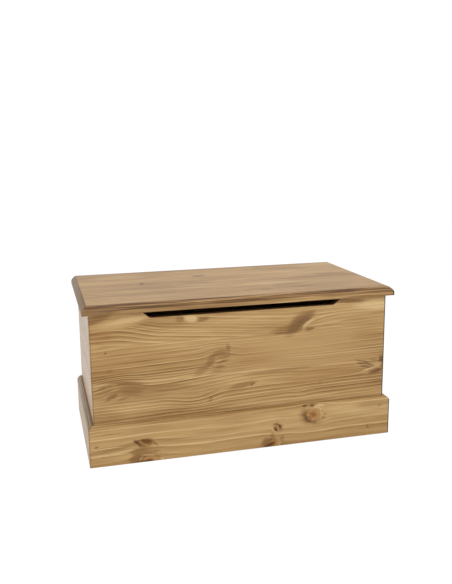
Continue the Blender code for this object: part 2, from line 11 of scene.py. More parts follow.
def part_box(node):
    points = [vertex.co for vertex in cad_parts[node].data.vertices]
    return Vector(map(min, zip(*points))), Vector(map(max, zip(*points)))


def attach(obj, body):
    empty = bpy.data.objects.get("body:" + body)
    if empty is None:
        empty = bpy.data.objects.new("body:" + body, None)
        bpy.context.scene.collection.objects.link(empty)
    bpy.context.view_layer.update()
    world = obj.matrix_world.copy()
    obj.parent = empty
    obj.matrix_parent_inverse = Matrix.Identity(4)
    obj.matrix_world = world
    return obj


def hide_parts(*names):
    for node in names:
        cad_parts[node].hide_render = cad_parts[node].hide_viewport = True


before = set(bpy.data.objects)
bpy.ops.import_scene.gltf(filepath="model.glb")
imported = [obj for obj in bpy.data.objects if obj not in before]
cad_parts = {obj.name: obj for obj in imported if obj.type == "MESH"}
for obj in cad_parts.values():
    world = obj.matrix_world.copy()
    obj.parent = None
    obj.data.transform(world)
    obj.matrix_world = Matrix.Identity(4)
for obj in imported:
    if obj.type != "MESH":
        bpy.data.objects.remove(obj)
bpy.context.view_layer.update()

bl_info = {
    "name": "Storage Trunk",
    "version": (1, 0, 0),
    "blender": (4, 5, 0),
    "location": "3D View > Sidebar > Trunk",
    "description": "Dresses a waxed pine storage trunk and sets it in a plain studio",
    "category": "Object",
}

# The smallest distance that counts, how close is as good as touching, and the steps across an easing, an
# upright corner, the foot of the lid's edge and a corner of the slot
WELD = 0.000002
CLOSE = 5 * WELD
ARRIS_STEPS = 3
CORNER_STEPS = 5
LID_FOOT_STEPS = 4
SLOT_STEPS = 8

# Facets round a turned fitting, up its domed head and round a screw
TURNED_STEPS = 40
DOME_STEPS = 6
SCREW_SIDES = 32

# Edges that turn more than this are sharp: on boards, round the finger slot, and on fittings
SHARP_BOARD = math.radians(50.0)
SHARP_FRONT = math.radians(40.0)
SHARP_METAL = math.radians(42.0)

# A fitting is smooth over edges that turn less than this, and its faces over this area are flat
SMOOTH_ANGLE = math.radians(38.0)
FLAT_AREA = 0.00003

# A wooden face is flat where its normal lies this near to an axis
FLAT_NORMAL = 0.9999

# Packed faces that turn less than this against each other become one
MERGED_ANGLE = math.radians(1.0)

# A wooden face whose normal leans this far aside shows its darkened edges and end grain by these shares
# instead: less on faces turned left, which is painted light, and more on faces turned right, which is painted
# shade
TURNED = 0.3
LIT_LEFT_MOULDING = 0.65
LIT_LEFT_EDGE = 0.2
LIT_LEFT_END_GRAIN = 0.3
SHADED_RIGHT_EDGE = 1.3

# How ridged the plinth's moulding and the lid's plain edge are, how dark the painted shade on the plinth's
# ledge is, and how bright a screw is rubbed
EDGE_MOULDED = 0.4
LEDGE_PAINTED_SHADE = 0.55
SCREW_RUBBED = 0.4

# How far from a board's right end its painted shade line starts, and where it is full
SHADE_LINE_START = 0.0052
SHADE_LINE_FULL = 0.0030

# How far the rim of a patch or a knot's colour strays along and across the grain, and a ring's fine waves
STRAY_ALONG = 0.014
STRAY_ACROSS = 0.006
FINE_WAVES = 0.0022

# Height of the fine relief on wood and on metal
WOOD_RELIEF = 0.00006
METAL_RELIEF = 0.00003

# Rings inside a fan are other rings than those outside, by more than the spacing
FAN_SHIFT = 0.237

# The screw tree's sizes, each with its word in the names of TrunkSizes
SCREW_SIZES = {"Head Radius": "head", "Head Height": "rise", "Shank Radius": "shank", "Length": "length",
               "Tip": "tip"}

# A screw's rim and recess as shares of its head's height, and the radii of the square punch for the recess
RIM_SHARE = 0.25
RECESS_DEPTH_SHARE = 0.8
RECESS_TOP = math.sqrt(2.0)
RECESS_FOOT = math.sqrt(1.6)

# The photograph's camera, in the row frame
CAMERA_PLACE = Vector((-0.5445, -2.0837, 0.8567))
CAMERA_TARGET = Vector((0.0046, -0.0006, 0.4106))
CAMERA_ROLL = math.radians(-0.617)
CAMERA_LENS = 44.69
CAMERA_SENSOR = 36.0

# The studio: the sky's light on the trunk, half the floor's side, how far the floor lies below the trunk's
# foot, its grey as the trunk's light sees it and as the camera sees it, and the glow that makes it look white
SKY_LIGHT = 0.6
FLOOR_HALF = 15.0
FLOOR_DROP = 0.0003
FLOOR_GREY = 0.8
FLOOR_SHADE = 0.1
FLOOR_GLOW = 0.95

# Where the lamps point, and the place, side and power of each
LAMP_TARGET = Vector((0, 0, 0.25))
LAMPS = {
    "key_lamp": ((-1.6, -3.4, 2.6), 2.5, 60.0),
    "fill_lamp": ((3.0, -2.6, 2.2), 2.5, 25.0),
    "top_lamp": ((0.0, 0.6, 3.4), 3.0, 25.0),
}


def length(name, description, default):
    """A property for a size in metres."""
    return FloatProperty(name=name, description=description, default=default, min=0.0, precision=5,
                         unit="LENGTH")


def share(name, description, default):
    """A property for a share from nothing to all."""
    return FloatProperty(name=name, description=description, default=default, min=0.0, max=1.0,
                         subtype="FACTOR")


def colour(name, description, default):
    """A property for a colour."""
    return FloatVectorProperty(name=name, description=description, default=default, size=3,
                               min=0.0, max=1.0, subtype="COLOR")


class TrunkSizes(bpy.types.PropertyGroup):
    """Sizes of the boards' edges, the mouldings, the finger slot and the fittings."""
    arris: length("Arris", "Easing of a board's sharp edges", 0.0007)
    corner_round: length("Corner Round", "Rounding of the box's upright corners", 0.003)
    slot_half_length: length("Slot Half Length", "Half the length of the finger slot's floor", 0.263)
    slot_depth: length("Slot Depth", "Depth of the finger slot", 0.019)
    slot_flare: length("Slot Flare", "How far the slot's ends lean outwards", 0.02264)
    slot_corner: length("Slot Corner", "Rounding at the ends of the slot's floor", 0.006)
    lid_moulding: length("Lid Moulding", "Width of the lid's moulding", 0.0145)
    plinth_moulding: length("Plinth Moulding", "Width of the plinth's moulding", 0.0108)
    plinth_corner: length("Plinth Corner", "Rounding of the plinth's upright corners", 0.0025)
    moulding_fullness: share("Moulding Fullness", "How full the mouldings are", 0.36)
    moulding_steps: IntProperty(name="Moulding Steps", description="Facets across a moulding", default=12,
                                min=2)
    lid_arris: length("Lid Foot Round", "Rounding along the foot of the lid's edge", 0.0012)
    joint: length("Joint", "Room between pieces that touch", 0.0003)
    metal_arris: length("Metal Arris", "Easing of a fitting's sharp edges", 0.0002)
    pin_radius: length("Pin Radius", "Radius of a hinge pin", 0.0017)
    pin_head_radius: length("Pin Head Radius", "Radius of a hinge pin's head", 0.0029)
    pin_head_height: length("Pin Head Height", "Rise of a hinge pin's domed head", 0.0012)
    stay_play: length("Stay Play", "Room on either side of a stay's arm", 0.0004)
    rivet_radius: length("Rivet Radius", "Radius of a stay's rivet and of a stud's root", 0.0025)
    rivet_head_radius: length("Rivet Head Radius", "Radius of a stay's rivet heads", 0.0048)
    stay_head_height: length("Stay Head Height", "Rise of a stay's rivet heads and stud head", 0.0018)
    collar_radius: length("Collar Radius", "Radius of a stud's collar", 0.0055)
    stud_radius: length("Stud Radius", "Radius of the stud that an arm slides on", 0.0028)
    stud_head_radius: length("Stud Head Radius", "Radius of a stud's head", 0.0056)
    fitting_screw_head: length("Fitting Screw Head", "Head radius of a fitting's screw", 0.0030)
    fitting_screw_rise: length("Fitting Screw Rise", "Head height of a fitting's screw", 0.0016)
    fitting_screw_shank: length("Fitting Screw Shank", "Shank radius of a fitting's screw", 0.0014)
    fitting_screw_length: length("Fitting Screw Length", "Length of a fitting's screw", 0.014)
    fitting_screw_tip: length("Fitting Screw Tip", "Length of a fitting screw's point", 0.003)
    batten_screw_head: length("Batten Screw Head", "Head radius of a lid batten's screw", 0.0040)
    batten_screw_rise: length("Batten Screw Rise", "Head height of a lid batten's screw", 0.0024)
    batten_screw_shank: length("Batten Screw Shank", "Shank radius of a lid batten's screw", 0.0020)
    batten_screw_length: length("Batten Screw Length", "Length of a lid batten's screw", 0.035)
    batten_screw_tip: length("Batten Screw Tip", "Length of a lid batten screw's point", 0.004)
    recess_reach_share: share("Recess Reach", "Reach of the cross recess in a screw's head", 0.55)
    recess_width_share: share("Recess Width", "Half width of the cross recess's arms", 0.13)


class TrunkColours(bpy.types.PropertyGroup):
    """Colours of the waxed pine and the metals."""
    cream: colour("Cream", "Earlywood where the wax is thin", (0.690, 0.490, 0.240))
    golden: colour("Golden", "Waxed earlywood", (0.520, 0.330, 0.137))
    honey: colour("Honey", "Waxed wood between the rings", (0.408, 0.241, 0.091))
    brown: colour("Brown", "Waxed latewood", (0.255, 0.132, 0.043))
    umber: colour("Umber", "Wax caught in the darkest figure", (0.100, 0.042, 0.009))
    amber: colour("Amber", "The bodies of knots", (0.420, 0.215, 0.066))
    russet: colour("Russet", "Heartwood and resin", (0.260, 0.099, 0.020))
    # Painted shade: near black for the finger slot, the plinth's ledge and the line at a board's right end
    shade_black: colour("Shade Black", "Wood that no light reaches", (0.012, 0.009, 0.007))
    stain: colour("Stain", "Wax on end grain and in the mouldings", (0.095, 0.068, 0.041))
    brass: colour("Brass", "Satin brass of the hinges", (0.780, 0.570, 0.260))
    tarnish: colour("Tarnish", "Dull patches of the brass", (0.520, 0.350, 0.140))
    zinc: colour("Zinc", "Zinc plating of the stays", (0.700, 0.710, 0.710))
    zinc_dull: colour("Dull Zinc", "Cloudy patches of the zinc", (0.480, 0.490, 0.500))


# Marks on a board, placed along and across the grain from the middle of the trunk's foot: a knot, a swell
# that lifts the grain, a joint between two glued staves, a fan of grain that opens from a point, a belt of
# closer rings, a soft patch, and a streak that follows the grain. Turns and shadow sides are in degrees, and
# the later of two patches lies on top
Knot = namedtuple("Knot", "along across radius stretch shadow strength")
Swell = namedtuple("Swell", "along across lift reach height")
Joint = namedtuple("Joint", "across shift until tilt calm")
Fan = namedtuple("Fan", "along across reach below above light")
Belt = namedtuple("Belt", "low high rings")
Patch = namedtuple("Patch", "along across reach height turn tint strength")
Streak = namedtuple("Streak", "along across reach height tint strength")

# A board: its axes along, across and through the grain, how its rings are spaced, wander, tilt along the
# face and slant into it, its contrast and tone, the wax's roughness and shine, the right end that a painted
# shade line runs beside, and the level below which its patches don't show
Board = namedtuple("Board", "axes spacing wander tilt seed slant contrast tone roughness shine rim skin "
                            "knots swells joints fans belts patches streaks",
                   defaults=(0.5, 1.0, 0.0, 0.40, 0.5, 1.0, -1.0, *((),) * 7))


# The fields of a mark that are lengths
LENGTHS = "along across radius lift reach height shift until below above low high".split()


def marks(kind, *rows):
    """Marks of a kind, from rows in the order of its fields, with lengths in millimetres."""
    return [kind(*(value / 1000 if field in LENGTHS else value for field, value in zip(kind._fields, row)))
            for row in rows]


FRONT = Board(
    "XZY", spacing=0.0092, wander=0.005, tilt=0.030, seed=3.0, contrast=1.12, shine=0.25, rim=0.4250,
    joints=marks(Joint, (329.5, 470, 120, 0.106, 0.8)),
    belts=marks(Belt, (790, 900, -3)),
    fans=marks(Fan, (165, 330, 35, 0, 47, 0.5), (412, 205, -34, 23, 21, 0.4)),
    swells=marks(
        Swell,
        (-350, 385, 14, 80, 50), (-350, 212, 15, 55, 30), (20, 215, 13, 150, 35), (-145, 155, -13, 60, 22),
        (-70, 292, 12, 45, 22), (165, 145, -4, 30, 12)),
    patches=marks(
        Patch,
        # Golden ground on the right, and brown ground low on the left
        (200, 302, 240, 50, 0, "golden", 0.6), (230, 248, 220, 30, 0, "golden", 0.45),
        (-320, 187, 150, 32, 0, "brown", 0.22), (-220, 186, 230, 28, 0, "brown", 0.28),
        (-400, 130, 65, 34, 0, "brown", 0.45),
        # The light and dark grain at the top left
        (-350, 390, 80, 18, 8, "golden", 0.9), (-320, 398, 70, 9, 8, "cream", 0.55),
        (-400, 409, 55, 14, 20, "brown", 0.75), (-400, 356, 45, 20, 0, "russet", 0.3),
        # The pale knot under the slot, between two dark spots
        (-153, 392, 22, 13, -10, "cream", 0.8), (-183, 391, 15, 11, 0, "brown", 0.75),
        (-119, 386, 21, 7, 5, "brown", 0.85),
        # The dark branch mark under the slot's right end, with light grain beside it
        (130, 339, 62, 14, 6, "brown", 0.9), (152, 352, 50, 23, 45, "brown", 0.9),
        (178, 368, 40, 18, 30, "brown", 1), (186, 353, 26, 6, 40, "cream", 0.6),
        (235, 348, 65, 2.4, 4.5, "cream", 0.5), (250, 337, 55, 2.2, -3, "cream", 0.45),
        (240, 342, 55, 4, 2, "brown", 0.45), (191, 336, 18, 7, 10, "brown", 1),
        (146, 344, 34, 12, 30, "umber", 0.35), (175, 364, 28, 10, 40, "stain", 0.25),
        (130, 331.5, 55, 2, 3, "umber", 0.45),
        # The leaf-shaped mark in the middle, with its veins
        (-48, 298, 8, 16, 8, "brown", 0.75), (-75, 286, 30, 11, 12, "brown", 0.85),
        (-98, 268, 22, 13, 60, "brown", 0.9), (-122, 244, 34, 11, 32, "brown", 0.6),
        (-63, 273, 25, 6, 11, "brown", 0.95), (-67, 261, 24, 6, 11, "brown", 0.95),
        (-74, 248, 24, 5, 2, "brown", 0.8), (-81, 236, 22, 4.5, -3, "brown", 0.6),
        (-70, 267, 22, 2.4, 11, "cream", 0.45), (-74, 254, 22, 2.4, 6, "cream", 0.45),
        # The light top right corner, and redder wood below it
        (396, 391, 80, 15, -2, "cream", 0.9), (305, 409, 70, 8, -2, "brown", 0.8),
        (375, 302, 70, 16, 0, "russet", 0.22),
        # The dark mark low on the left
        (-330, 224, 60, 6, -6, "brown", 1), (-395, 217, 36, 4, 14, "brown", 1),
        (-395, 203, 34, 3.5, 16, "brown", 0.9), (-320, 204, 40, 19, -12, "brown", 0.75),
        (-372, 190, 24, 7, 28, "brown", 1), (-340, 183, 20, 3.5, 10, "brown", 0.8),
        (-230, 202, 110, 12, -4, "brown", 0.5),
        # A dark band right of the middle
        (100, 222, 140, 7, 2, "brown", 0.5),
        # The split knot at the right edge
        (421, 220, 16, 25, 6, "brown", 1), (419, 227, 12, 10, -20, "umber", 0.8),
        (397, 190, 28, 11, 14, "brown", 1), (400, 192, 20, 5, 14, "umber", 0.6),
        (362, 223.5, 32, 3.4, -16, "umber", 0.7), (366, 215.5, 34, 3.4, -14, "umber", 0.7),
        (374, 207, 30, 4, -8, "umber", 0.65), (392, 228, 14, 3, -6, "umber", 0.4),
        (368, 212, 30, 1.6, -12, "cream", 0.45), (376, 199.5, 34, 3, 12, "cream", 0.65),
        (406, 211, 15, 10, 20, "golden", 0.7),
        # The foot above the plinth, darker: painted shade where the board meets the plinth, and wax gathered
        # there
        (0, 119, 430, 9, 0, "brown", 0.38), (0, 122, 430, 12, 0, "russet", 0.2),
        # Small knots and specks
        (22, 189, 10, 7, 40, "brown", 0.9), (-12, 187, 52, 10, 12, "brown", 0.75),
        (-102, 155, 8, 8, 30, "brown", 0.75), (225, 173, 7, 5, 60, "brown", 0.55),
        (-384, 313, 4, 4, 0, "umber", 0.6), (-377, 262, 10, 8, 20, "brown", 0.45)),
    streaks=marks(
        Streak,
        (0, 330, 500, 1.6, "cream", 0.3), (0, 227, 420, 3, "brown", 0.4),
        (240, 300, 190, 3, "brown", 0.35), (240, 292, 190, 1.8, "cream", 0.4),
        (250, 262, 210, 3.5, "brown", 0.3), (250, 250, 210, 2, "cream", 0.4),
        (220, 238, 210, 1.8, "umber", 0.25), (150, 193, 260, 1.6, "umber", 0.45),
        (-300, 186, 170, 2.4, "cream", 0.45)),
)
PLINTH = Board(
    "XZY", spacing=0.0210, wander=0.010, tilt=0.010, seed=11.0, tone=-0.04, shine=0.25, rim=0.4403,
    knots=marks(
        Knot,
        (200, 84.2, 19, 1.6, 220, 0.9), (86.5, 55, 10, 1.3, 40, 0.7), (76, 6, 14, 2, 150, 0.8),
        (-280, -2, 19, 2.6, 160, 0.7), (376, 28, 3.5, 1.5, 200, 0.8)),
    swells=marks(Swell, (-290, 56, 6, 60, 20)),
    patches=marks(
        Patch,
        # The brown right end, and the fine lines at the left end
        (400, 96, 80, 22, 0, "brown", 0.35), (-405, 77.5, 60, 1.6, 1, "cream", 0.8),
        (-400, 90, 60, 1.6, 1, "brown", 0.6), (-400, 50.5, 60, 1.5, 1, "cream", 0.85),
        (-395, 40, 80, 6, 2, "brown", 0.45), (-390, 29.5, 70, 1.5, 2, "cream", 0.85),
        # The two cut knots on the left and the dark grain between them
        (-305, 32, 28, 15, 0, "brown", 0.8), (-276, 30, 30, 8, 0, "brown", 0.35),
        (-292, 54.5, 30, 13, -12, "brown", 1), (-292, 60, 28, 8, -4, "russet", 1),
        (-288, 60, 26, 9, -6, "russet", 1), (-286, 60, 20, 8, -12, "umber", 0.6),
        (-292, 65.5, 28, 2.4, 3, "umber", 0.8), (-298, 53, 16, 5, -46, "brown", 1),
        (-309, 56, 20, 4.4, -46, "umber", 0.85), (-292, 53, 20, 1.6, -42, "amber", 0.9),
        (-263, 52, 15, 4.5, -46, "brown", 0.9), (-268, 27, 24, 3.5, 0, "russet", 0.45),
        (-315, 13, 24, 14, 20, "brown", 1), (-306, 4, 12, 3, 0, "umber", 0.8),
        (-284, 3.5, 18, 3.8, 3, "russet", 1), (-284, 3, 14, 3, 3, "umber", 0.9),
        (-278, 19, 28, 1.6, -6, "cream", 0.7), (-303, 11, 12, 1.6, 42, "cream", 0.7),
        (-256, 14, 14, 4, -20, "brown", 0.7),
        # The small knot in the middle and the cut knot below it
        (85, 51, 9.5, 3.6, -58, "umber", 1), (96.5, 57.5, 8, 1.8, -66, "umber", 0.85),
        (75, 34, 7, 11, 0, "brown", 0.55), (54, 17, 16, 11, 40, "brown", 0.9),
        (70, 9, 23, 8.5, 20, "russet", 1), (68, 7, 17, 5.5, 20, "umber", 0.95),
        (92, 17, 10, 4, 0, "amber", 0.7), (105, 22, 8, 10, 0, "brown", 0.65),
        # Specks round the large knot and at both ends, and dark grain above it
        (178, 91, 4, 3.5, 0, "umber", 0.7), (227, 92, 4, 4, 0, "brown", 0.7),
        (231, 71, 7, 5, 0, "brown", 0.65), (237, 81, 5, 3, 0, "brown", 0.5),
        (-421, 58, 6, 3.5, 0, "umber", 0.6), (407, 90, 6, 6, 0, "brown", 0.6),
        (174, 110.5, 10, 3, 0, "umber", 0.8), (196, 110, 9, 4, 0, "umber", 0.7),
        (186, 73, 11, 7, -40, "brown", 0.85), (222, 109, 16, 4, 0, "cream", 0.6)),
    streaks=marks(
        Streak,
        (-320, 77, 170, 3, "cream", 0.7), (30, 72, 150, 2.6, "cream", 0.6), (0, 50, 240, 4, "cream", 0.55),
        (20, 33, 260, 3, "cream", 0.4), (-360, 46, 90, 5, "brown", 0.5), (300, 60, 120, 3, "brown", 0.4)),
)
LID = Board(
    "XYZ", spacing=0.0150, wander=0.012, tilt=0.020, seed=23.0, slant=0.6, contrast=0.70, tone=0.10,
    roughness=0.46, shine=0.35, rim=0.4425, skin=0.4208,
    patches=marks(
        Patch,
        # The dark back and right edges, and the ground between them
        (0, 226, 500, 16, 0, "umber", 0.35), (438, 0, 8, 260, 0, "umber", 0.45),
        (400, 170, 130, 70, 0, "cream", 0.25), (20, 10, 180, 90, 0, "brown", 0.2),
        # The front left corner
        (-405, -231, 60, 4, 0, "umber", 0.8), (-400, -238.5, 70, 3, 0, "umber", 0.5),
        (-300, -229, 70, 3, 0, "umber", 0.55),
        # Small knots
        (-247, 29, 10, 20, 0, "umber", 0.85), (-225, 22, 35, 20, 0, "brown", 0.35),
        (-57, 104, 26, 15, 8, "umber", 0.75), (160, 179, 14, 16, 0, "brown", 0.55),
        # Brown streaks
        (165, -105, 60, 16, 0, "brown", 0.6), (190, -143, 46, 12, 3, "brown", 0.8),
        (205, -150, 30, 8, 3, "umber", 0.35), (140, -130, 40, 8, -50, "brown", 0.5),
        (-240, -36, 120, 14, 0, "brown", 0.75), (-80, -4, 50, 10, -20, "brown", 0.75),
        (350, 18, 60, 20, 0, "brown", 0.65), (80, -156, 24, 10, 16, "brown", 0.8),
        (58, -142, 30, 6, -12, "brown", 0.6), (26, -160, 10, 12, 0, "brown", 0.65),
        (300, -130, 100, 24, 0, "brown", 0.45),
        # Light streaks
        (-300, 150, 100, 40, 0, "cream", 0.2), (120, -70, 120, 16, 0, "cream", 0.35),
        (-200, -70, 200, 14, 0, "cream", 0.25)),
)
LEFT_END = Board("YZX", spacing=0.0120, wander=0.012, tilt=0.02, seed=37.0, contrast=1.5, roughness=0.30,
                 knots=marks(Knot, (60, 255, 11, 1.6, 210, 0.8), (-120, 330, 6, 1.6, 30, 0.8)))
RIGHT_END = Board("YZX", spacing=0.0115, wander=0.014, tilt=-0.03, seed=41.0,
                  knots=marks(Knot, (-70, 300, 13, 1.7, 200, 0.9), (130, 190, 8, 1.6, 330, 0.9)))
BACK = Board("XZY", spacing=0.0120, wander=0.014, tilt=-0.02, seed=53.0, roughness=0.42,
             joints=marks(Joint, (295, 310, 400, 0.05, 1)),
             knots=marks(Knot, (-210, 265, 15, 1.7, 200, 1), (125, 150, 18, 1.6, 30, 0.9),
                         (300, 350, 9, 1.7, 250, 1), (-350, 120, 7, 1.6, 120, 1)))
LEFT_PLINTH = Board("YZX", spacing=0.0125, wander=0.006, tilt=0.01, seed=61.0, contrast=1.4, tone=0.04,
                    roughness=0.34, shine=0.32, knots=marks(Knot, (90, 60, 10, 1.7, 200, 0.8)))
RIGHT_PLINTH = Board("YZX", spacing=0.0125, wander=0.006, tilt=-0.01, seed=67.0,
                     knots=marks(Knot, (-40, 42, 12, 1.7, 30, 0.9)))
LONG_BATTEN = Board("XYZ", spacing=0.0060, wander=0.004, tilt=0.01, seed=71.0, slant=0.7, contrast=0.8,
                    tone=-0.05, roughness=0.55)
CROSS_BATTEN = Board("YXZ", spacing=0.0065, wander=0.004, tilt=0.01, seed=79.0, slant=0.7, contrast=0.8,
                     tone=-0.05, roughness=0.50,
                     knots=marks(Knot, (70, 300, 7, 1.6, 200, 0.9), (-90, -312, 8, 1.6, 30, 0.9)))
BASE = Board("XYZ", spacing=0.0300, wander=0.030, tilt=0.03, seed=83.0, slant=0.2, contrast=0.7, tone=-0.08,
             roughness=0.55,
             knots=marks(Knot, (-150, 50, 10, 1.5, 200, 0.8), (240, -70, 13, 1.5, 60, 0.8)))


def feed(tree, socket, value):
    """Links a formula, a node's first output or a socket to a socket, or sets the socket to a plain value."""
    if isinstance(value, bpy.types.Node):
        value = value.outputs[0]
    elif isinstance(value, Formula):
        value = value.socket
    if isinstance(value, bpy.types.NodeSocket):
        tree.links.new(value, socket)
    else:
        socket.default_value = value


def grow(tree, kind, values=(), **settings):
    """Adds a node with its settings, and feeds its inputs in their order, or by name or number."""
    node = tree.nodes.new(kind)
    for key, value in settings.items():
        setattr(node, key, value)
    for key, value in values.items() if isinstance(values, dict) else enumerate(values):
        feed(tree, node.inputs[key], value)
    return node


class Formula:
    """A number in a node tree: adding or multiplying formulas adds the Math nodes."""

    def __init__(self, tree, socket):
        self.tree = tree
        self.socket = socket

    def then(self, operation, *others):
        node = grow(self.tree, "ShaderNodeMath", (self, *others), operation=operation)
        return Formula(self.tree, node.outputs[0])

    def __add__(self, other):
        return self.then("ADD", other)

    def __sub__(self, other):
        return self.then("SUBTRACT", other)

    def __mul__(self, other):
        return self.then("MULTIPLY", other)

    def __truediv__(self, other):
        return self.then("DIVIDE", other)

    def __rsub__(self, other):
        return self.then("MULTIPLY", -1.0) + other

    def ramp(self, low, high, start=0.0, end=1.0):
        """Runs smoothly from start to end as this runs from low to high, and stays there."""
        node = grow(self.tree, "ShaderNodeMapRange", (self, low, high, start, end),
                    interpolation_type="SMOOTHSTEP")
        return Formula(self.tree, node.outputs[0])


class Material:
    """A new node material, with short ways to add the nodes that the finishes use."""

    def __init__(self, name):
        self.data = bpy.data.materials.new(name)
        self.data.use_nodes = True
        self.tree = self.data.node_tree
        self.shader = next(n for n in self.tree.nodes if n.type == "BSDF_PRINCIPLED")
        self.place = self.add("TexCoord").outputs["Object"]

    def add(self, kind, values=(), **settings):
        return grow(self.tree, "ShaderNode" + kind, values, **settings)

    def split(self, vector):
        return [Formula(self.tree, socket) for socket in self.add("SeparateXYZ", (vector,)).outputs]

    def join(self, *parts):
        return self.add("CombineXYZ", parts).outputs[0]

    def vector(self, operation, *values):
        return self.add("VectorMath", values, operation=operation).outputs["Vector"]

    def measure(self, operation, *values):
        """The length of a vector, or the dot product of two."""
        return Formula(self.tree, self.add("VectorMath", values, operation=operation).outputs["Value"])

    def seen_from(self, knot, vector, stretch):
        """The vector measured from a knot's middle in units of its radius, stretched along the grain."""
        values = {"Vector": vector, "Location": (knot.along, knot.across, 0.0),
                  "Scale": (knot.radius * stretch, knot.radius, 1.0)}
        return self.add("Mapping", values, vector_type="TEXTURE").outputs[0]

    def noise(self, vector, stretch, detail=2.0, output=0):
        """Smooth noise from about 0 to 1, with its count of blobs in a metre along each axis."""
        values = {"Scale": 1.0, "Detail": detail, "Vector": self.vector("MULTIPLY", vector, stretch)}
        return Formula(self.tree, self.add("TexNoise", values).outputs[output])

    def grain(self, vector, along, across, detail=2.0):
        """Noise about zero, with its count of blobs in a metre along and across the grain."""
        return self.noise(vector, (along, across, across), detail) - 0.5

    def random(self, number):
        """A number from 0 to 1 that depends on another number alone."""
        return Formula(self.tree, self.add("TexWhiteNoise", {"W": number}, noise_dimensions="1D").outputs[0])

    def mix(self, factor, first, second):
        """The first colour with a share of the second over it."""
        first, second = (value if isinstance(value, bpy.types.NodeSocket) else (*value, 1.0)
                         for value in (first, second))
        return self.add("Mix", {0: factor, 6: first, 7: second}, data_type="RGBA").outputs[2]

    def colours(self, number, stops):
        """Colours along a number from 0 to 1."""
        node = self.add("ValToRGB", (number,))
        elements = node.color_ramp.elements
        while len(elements) < len(stops):
            elements.new(0.5)
        for element, (position, tint) in zip(elements, stops):
            element.position = position
            element.color = (*tint, 1.0)
        return node.outputs[0]

    def attribute(self, name):
        return Formula(self.tree, self.add("Attribute", attribute_name=name).outputs["Fac"])

    def finish(self, values, height, depth):
        """Feeds the shader, and raises the surface by a height from 0 to 1, times a depth in metres."""
        bump = self.add("Bump", {"Strength": 1.0, "Distance": depth, "Height": height})
        for key, value in {**values, "Normal": bump}.items():
            feed(self.tree, self.shader.inputs[key], value)
        return self.data


def pine(name, board, colours):
    """Waxed pine: growth rings that wander, swell, fan out and part round the board's own knots."""
    wood = Material(name)
    parts = dict(zip("XYZ", wood.split(wood.place)))
    along, across, depth = (parts[axis] for axis in board.axes)
    solid = wood.join(along + board.seed, across, depth)
    stray = wood.split(wood.noise(solid, (30.0, 110.0, 110.0), output=1))
    ragged = (along + (stray[0] - 0.5) * STRAY_ALONG, across + (stray[1] - 0.5) * STRAY_ACROSS)

    ring, fans = bent_rings(wood, board, solid, along, across, depth)
    contrast = wood.noise(solid, (3.0, 20.0, 20.0)) * (2.0 * board.contrast) - 0.20 * board.contrast
    for joint in board.joints:
        contrast = contrast * (across.then("GREATER_THAN", joint.across) * (joint.calm - 1.0) + 1.0)
    uneven = wood.noise(wood.join(0.0, ring, board.seed), (0.0, 22.0, 1.0)) - 0.5
    count = ring / board.spacing + uneven * 2.8
    for belt in board.belts:
        count = count + ring.ramp(belt.low, belt.high, 0.0, belt.rings)
    step = count.then("FRACT")
    drawn = wood.random(count.then("FLOOR"))
    lit = wood.random(count.then("FLOOR") + 0.5)
    late = step.ramp(0.30, 0.88) * step.ramp(0.93, 1.0, 1.0, 0.0)
    early = step.ramp(0.00, 0.28, 1.0, 0.0)
    broad, streak = wood.grain(solid, 2.2, 14.0, 3.0), wood.grain(solid, 8.0, 160.0, 3.0)
    fibre, ridged = wood.grain(solid, 30.0, 520.0), wood.grain(solid, 6.0, 340.0) * 1.5 + 0.32

    dark = late * (drawn * 0.26 + 0.05) - early * (lit * 0.46 + 0.05)
    dark = dark * contrast + (0.47 + board.tone)
    dark = dark + broad * 0.78 + streak * 0.42 + fibre * 0.16
    dark = dark + wood.attribute("moulded") * ridged
    tint = wood.colours(dark, ((0.0, colours.cream), (0.34, colours.golden), (0.55, colours.honey),
                               (0.80, colours.brown), (1.0, colours.umber)))
    redness = wood.noise(wood.vector("ADD", solid, (5.0, 0.0, 0.0)), (2.0, 16.0, 16.0))
    tint = wood.mix(redness.ramp(0.52, 0.75, 0.0, 0.22), tint, colours.russet)
    level = ring - depth * board.slant
    for mark in board.streaks:
        shown = span((along, level), mark).ramp(0.3, 1.1, mark.strength, 0.0)
        tint = wood.mix(shown, tint, getattr(colours, mark.tint))
    for fan, edge in fans:
        tint = wood.mix(edge * fan.light, tint, colours.cream)
    for knot in board.knots:
        place = wood.seen_from(knot, wood.join(*ragged, 0.0), 0.4 * knot.stretch + 0.6)
        tint = knot_colour(wood, knot, place, tint, colours)
    grainy = (streak * 1.6 + late * 0.3 + 0.85).then("MINIMUM", 1.2)
    if board.skin > 0.0:
        grainy = grainy * depth.then("GREATER_THAN", board.skin)
    for mark in board.patches:
        shown = span(ragged, mark).ramp(0.45, 1.15, mark.strength, 0.0)
        tint = wood.mix(shown * grainy, tint, getattr(colours, mark.tint))

    tint = edge_colour(wood, board, solid, along, tint, colours)
    rough = late * 0.05 + streak * 0.12 + fibre * 0.10 + wood.attribute("painted_shade") * 0.35 + board.roughness
    values = {"Base Color": tint, "Roughness": rough, "Specular IOR Level": board.shine}
    return wood.finish(values, late * 0.6 + fibre * 0.5 + 0.3, WOOD_RELIEF)


